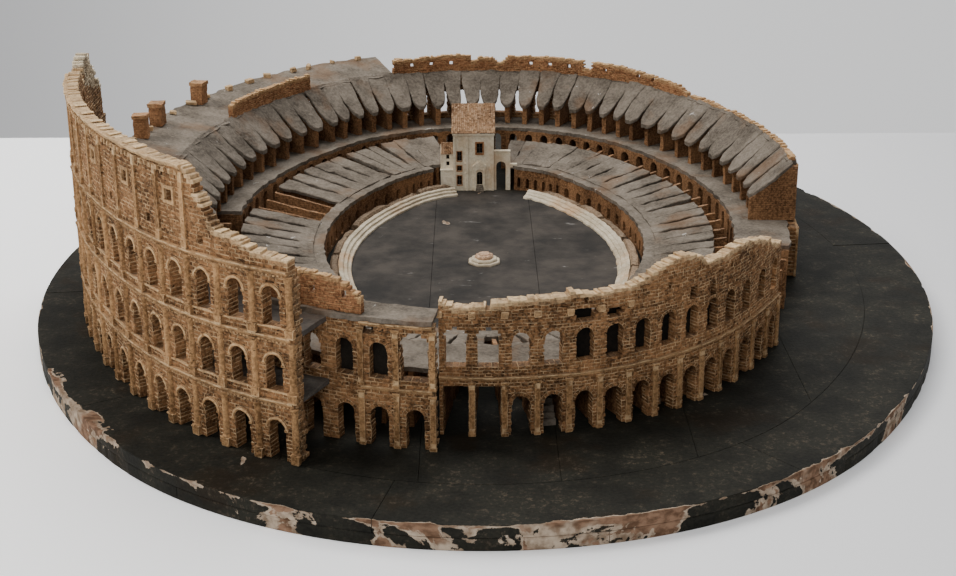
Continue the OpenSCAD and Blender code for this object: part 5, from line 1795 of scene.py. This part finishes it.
# dark sheets of painted shade behind the annex windows
annex_dark = new_object("annex_dark", *joined([
    block(x - h, x + h, ANNEX_BACK + 1.5, ANNEX_BACK + 1.9, z0, z1) for x, h, z0, z1 in annex_windows]),
    DARK, TOP)
keep(join("chapel_annex_made", [annex, fore, annex_dark]), "cream_plaster", "chapel_annex")

# roofs: rows of half-round tiles laid on boarding
tile_rings = []
for x, lift in ((-0.4, 0.35), (2.75, 0.0)):
    arc = [(x, 1.18 * math.cos(a), 0.25 + lift + 0.85 * math.sin(a)) for a in np.linspace(0, math.pi, 6)]
    inner = [(x, 0.8 * math.cos(a), 0.15 + lift + 0.45 * math.sin(a)) for a in np.linspace(math.pi, 0, 4)]
    tile_rings.append(arc + inner)
TILE = new_object("tile", *tube(tile_rings))
tile_faces = len(TILE.data.polygons)
# only the tile's lower end is made light, partly as wear and partly as painted highlight
set_edges(TILE, [0.6 if k == tile_faces - 2 else 0.0 for k in range(tile_faces)])


def tile_rows(x0, x1, y_ridge, z_ridge, y_eave, z_eave, pitch=2.28):
    """Tiles down one slope, from its ridge to its eaves."""
    down = np.array([0, y_eave - y_ridge, z_eave - z_ridge])
    long = float(np.linalg.norm(down))
    down /= long
    tilt = math.atan2(-down[2], abs(down[1]))
    yaw = math.copysign(math.pi / 2, down[1])
    rows = []
    columns, courses_down = round((x1 - x0) / pitch), max(2, round(long / 2.6))
    for c in range(columns):
        for r in range(courses_down):
            if rng.random() < 0.012:
                continue
            at = np.array([x0 + (x1 - x0) * (c + 0.5) / columns, CHAPEL_Y + y_ridge, z_ridge])
            at = at + down * long * r / courses_down
            rows.append((tuple(at), (0, tilt, yaw), (1, 1, 1), rng.choice([0.0, 0.1, 0.35])))
    return rows


OVERHANG = 1.8
ridge_y, ridge_z = CHAPEL_DEEP / 2, EAVES + ROOF_RISE + 1.2
slope = ROOF_RISE / (CHAPEL_DEEP / 2)
eave_z = ridge_z - (ridge_y + OVERHANG) * slope
tile_places = []
for eave_y in (-OVERHANG, CHAPEL_DEEP + OVERHANG):
    tile_places += tile_rows(left - OVERHANG, right + OVERHANG, ridge_y, ridge_z, eave_y, eave_z)
annex_ridge, annex_z = ANNEX_BACK + ANNEX_DEEP / 2, ANNEX_HIGH + ANNEX_RISE + 1.0
annex_slope = ANNEX_RISE / (ANNEX_DEEP / 2)
for way in (-1, 1):
    tile_places += tile_rows(annex_left + 0.6, left - 0.6, annex_ridge, annex_z, annex_ridge + way * 8.4,
                             annex_z - 8.4 * annex_slope)
boards = new_object("roof_boards", *joined([
    gable_block(left - 1.6, right + 1.6, 0, CHAPEL_DEEP, EAVES + 1.0, ROOF_RISE, 1.5),
    gable_block(annex_left + 0.7, left - 0.7, ANNEX_BACK, annex_rear, ANNEX_HIGH + 0.8, ANNEX_RISE, 1.0),
    box_shell((left - OVERHANG, CHAPEL_Y + ridge_y - 1.1, ridge_z - 0.6),
              (right + OVERHANG, CHAPEL_Y + ridge_y + 1.1, ridge_z + 0.9), (20, 1, 1))]), TILES, TOP)
tiles = copies("roof_tiles_laid", TILE, tile_places, TILES, 0.08, 0.02, 5)
wear(tiles, 7, 0.4, 3)
keep(join("tiled_roofs_made", [boards, tiles]), "tile_card", "tiled_roofs")
PATTERNS.append(TILE)

door_parts = []
for side_x in (-1, 1):
    x = DOOR_X + side_x * 5.1
    door_parts += [block(x - 1.3, x + 1.3, -1.6, 0.2, 0, 24), block(x - 1.7, x + 1.7, -2.0, 0.2, 24, 25.4),
                   block(x - 1.7, x + 1.7, -2.0, 0.2, 0, 3)]
door_parts += [block(DOOR_X - 7.4, DOOR_X + 7.4, -1.8, 0.2, 25.4, 28.4),
               block(DOOR_X - 8.4, DOOR_X + 8.4, -2.0, 0.2, 28.4, 29.4)]
pediment = [(-8.6, 29.3), (-8.6, 30.2), (0, 35), (8.6, 30.2), (8.6, 29.3)]
door_parts.append(tube([[(DOOR_X + x, CHAPEL_Y + y, z) for x, z in pediment] for y in (-2.0, 0.2)]))
door_trim = new_object("door_trim", *joined(door_parts), CREAM, TOP)
STEPS, STEP_RISE = 4, 1.75
treads = new_object("door_steps", *joined([
    block(DOOR_X - 3.6 - 0.4 * (3 - k), DOOR_X + 3.6 + 0.4 * (3 - k), -2.0 * (STEPS - k), 0.3,
          STEP_RISE * k, STEP_RISE * (k + 1) - 0.02) for k in range(STEPS)]), GREY, TOP)
keep(join("chapel_door_made", [door_trim, treads]), "pale_plaster", "chapel_door")

gate_left = right + 0.1
gate = carved("chapel_gateway_made", [block(gate_left, gate_left + 19, 2, 8, 0, 46)],
              [arch_block(gate_left + 8.4, 5.5, 1, 9, -1, 29)], CREAM)
gate_trim = new_object("gate_trim", *joined([
    block(gate_left, gate_left + 19.4, 1.4, 8, 46, 47.2),
    block(gate_left + 14.6, gate_left + 19.2, 1.3, 3, 0, 44),
    block(gate_left + 19.2, gate_left + 27, 2, 8, 27, 31)]), CREAM, TOP)
keep(join("chapel_gateway_made", [gate, gate_trim]), "cream_plaster", "chapel_gateway")


# ---- camera, floor and light ----
def aimed_camera():
    """The camera stands in front of the near facade and looks down at the arena."""
    azimuth, height, roll = math.radians(-0.18), math.radians(20.26), math.radians(-0.28)
    back = Vector((math.sin(azimuth) * math.cos(height), -math.cos(azimuth) * math.cos(height),
                   math.sin(height)))
    right = Vector((math.cos(azimuth), math.sin(azimuth), 0))
    up = back.cross(right)
    turned_right = right * math.cos(roll) + up * math.sin(roll)
    turned_up = up * math.cos(roll) - right * math.sin(roll)
    lens = bpy.data.cameras.new("camera")
    lens.lens, lens.sensor_width = 60.0, 36.0
    camera = bpy.data.objects.new("camera", lens)
    turn = Matrix((turned_right, turned_up, back)).transposed().to_4x4()
    place = Vector((-11.2, -1523.0, 560.5)) * MM
    camera.matrix_world = Matrix.Translation(place) @ turn
    bpy.context.scene.collection.objects.link(camera)
    bpy.context.scene.camera = camera


def area_light(name, place, size, power, colour=(1, 1, 1)):
    """A square soft light that shines on the model's middle."""
    light = bpy.data.lights.new(name, "AREA")
    light.shape, light.size, light.energy, light.color = "SQUARE", size, power, colour
    obj = bpy.data.objects.new(name, light)
    place, target = Vector(place), Vector((0, 0, 0.1))
    turn = (place - target).to_track_quat("Z", "Y").to_matrix().to_4x4()
    obj.matrix_world = Matrix.Translation(place) @ turn
    bpy.context.scene.collection.objects.link(obj)


def stage_sheet(name, corners, left_colour, right_colour, x0, x1, glow):
    """A plain sheet behind or under the model, its colour running from left_colour at x0 to right_colour at
    x1 as painted light and shade, and glowing with that colour by glow though it is no lamp.
    """
    mesh = bpy.data.meshes.new(name)
    mesh.from_pydata(corners, [], [(0, 1, 2, 3)])
    paper, tree, shader, place, _ = start_finish(name + "_paper", 0.9)
    split = tree.nodes.new("ShaderNodeSeparateXYZ")
    tree.links.new(place, split.inputs[0])
    colour = blend(tree, span(tree, split.outputs["X"], x0, x1), left_colour, right_colour)
    tree.links.new(colour, shader.inputs["Base Color"])
    tree.links.new(colour, shader.inputs["Emission Color"])
    shader.inputs["Emission Strength"].default_value = glow
    mesh.materials.append(paper)
    sheet = bpy.data.objects.new(name, mesh)
    bpy.context.scene.collection.objects.link(sheet)


aimed_camera()
# The floor is painted bright on the left and grey on the right, painted light and shade, and glows a little.
stage_sheet("floor", [(-6, -4, 0), (6, -4, 0), (6, 0.6, 0), (-6, 0.6, 0)],
            (0.95, 0.95, 0.95), (0.52, 0.52, 0.53), -0.7, 0.9, 0.4)
# The backdrop is painted darker on the left and lighter towards the middle, painted light and shade, and
# glows.
stage_sheet("backdrop", [(-6, 3.2, -3), (6, 3.2, -3), (6, 3.2, 3), (-6, 3.2, 3)],
            (0.33, 0.33, 0.335), (0.6, 0.6, 0.6), -1.9, 0.2, 0.95)

sky = bpy.data.worlds.new("studio")
sky.use_nodes = True
glow = sky.node_tree.nodes["Background"].inputs
glow["Color"].default_value = (0.72, 0.74, 0.77, 1)
glow["Strength"].default_value = 0.42
bpy.context.scene.world = sky
area_light("soft_left", (-1.7, -0.15, 2.3), 1.1, 50, (1.0, 0.97, 0.93))
area_light("soft_top", (0.0, 1.2, 2.3), 1.8, 56)
area_light("soft_front", (-0.5, -2.2, 1.5), 1.4, 20, (1.0, 0.98, 0.95))

drop(STONE, OUTER_WEDGE, OUTER_HOOP, CORNICE_PIECE, COLUMN, WINDOW_FRAME, FACADE_WEDGE, SMALL_WEDGE,
     *PATTERNS)
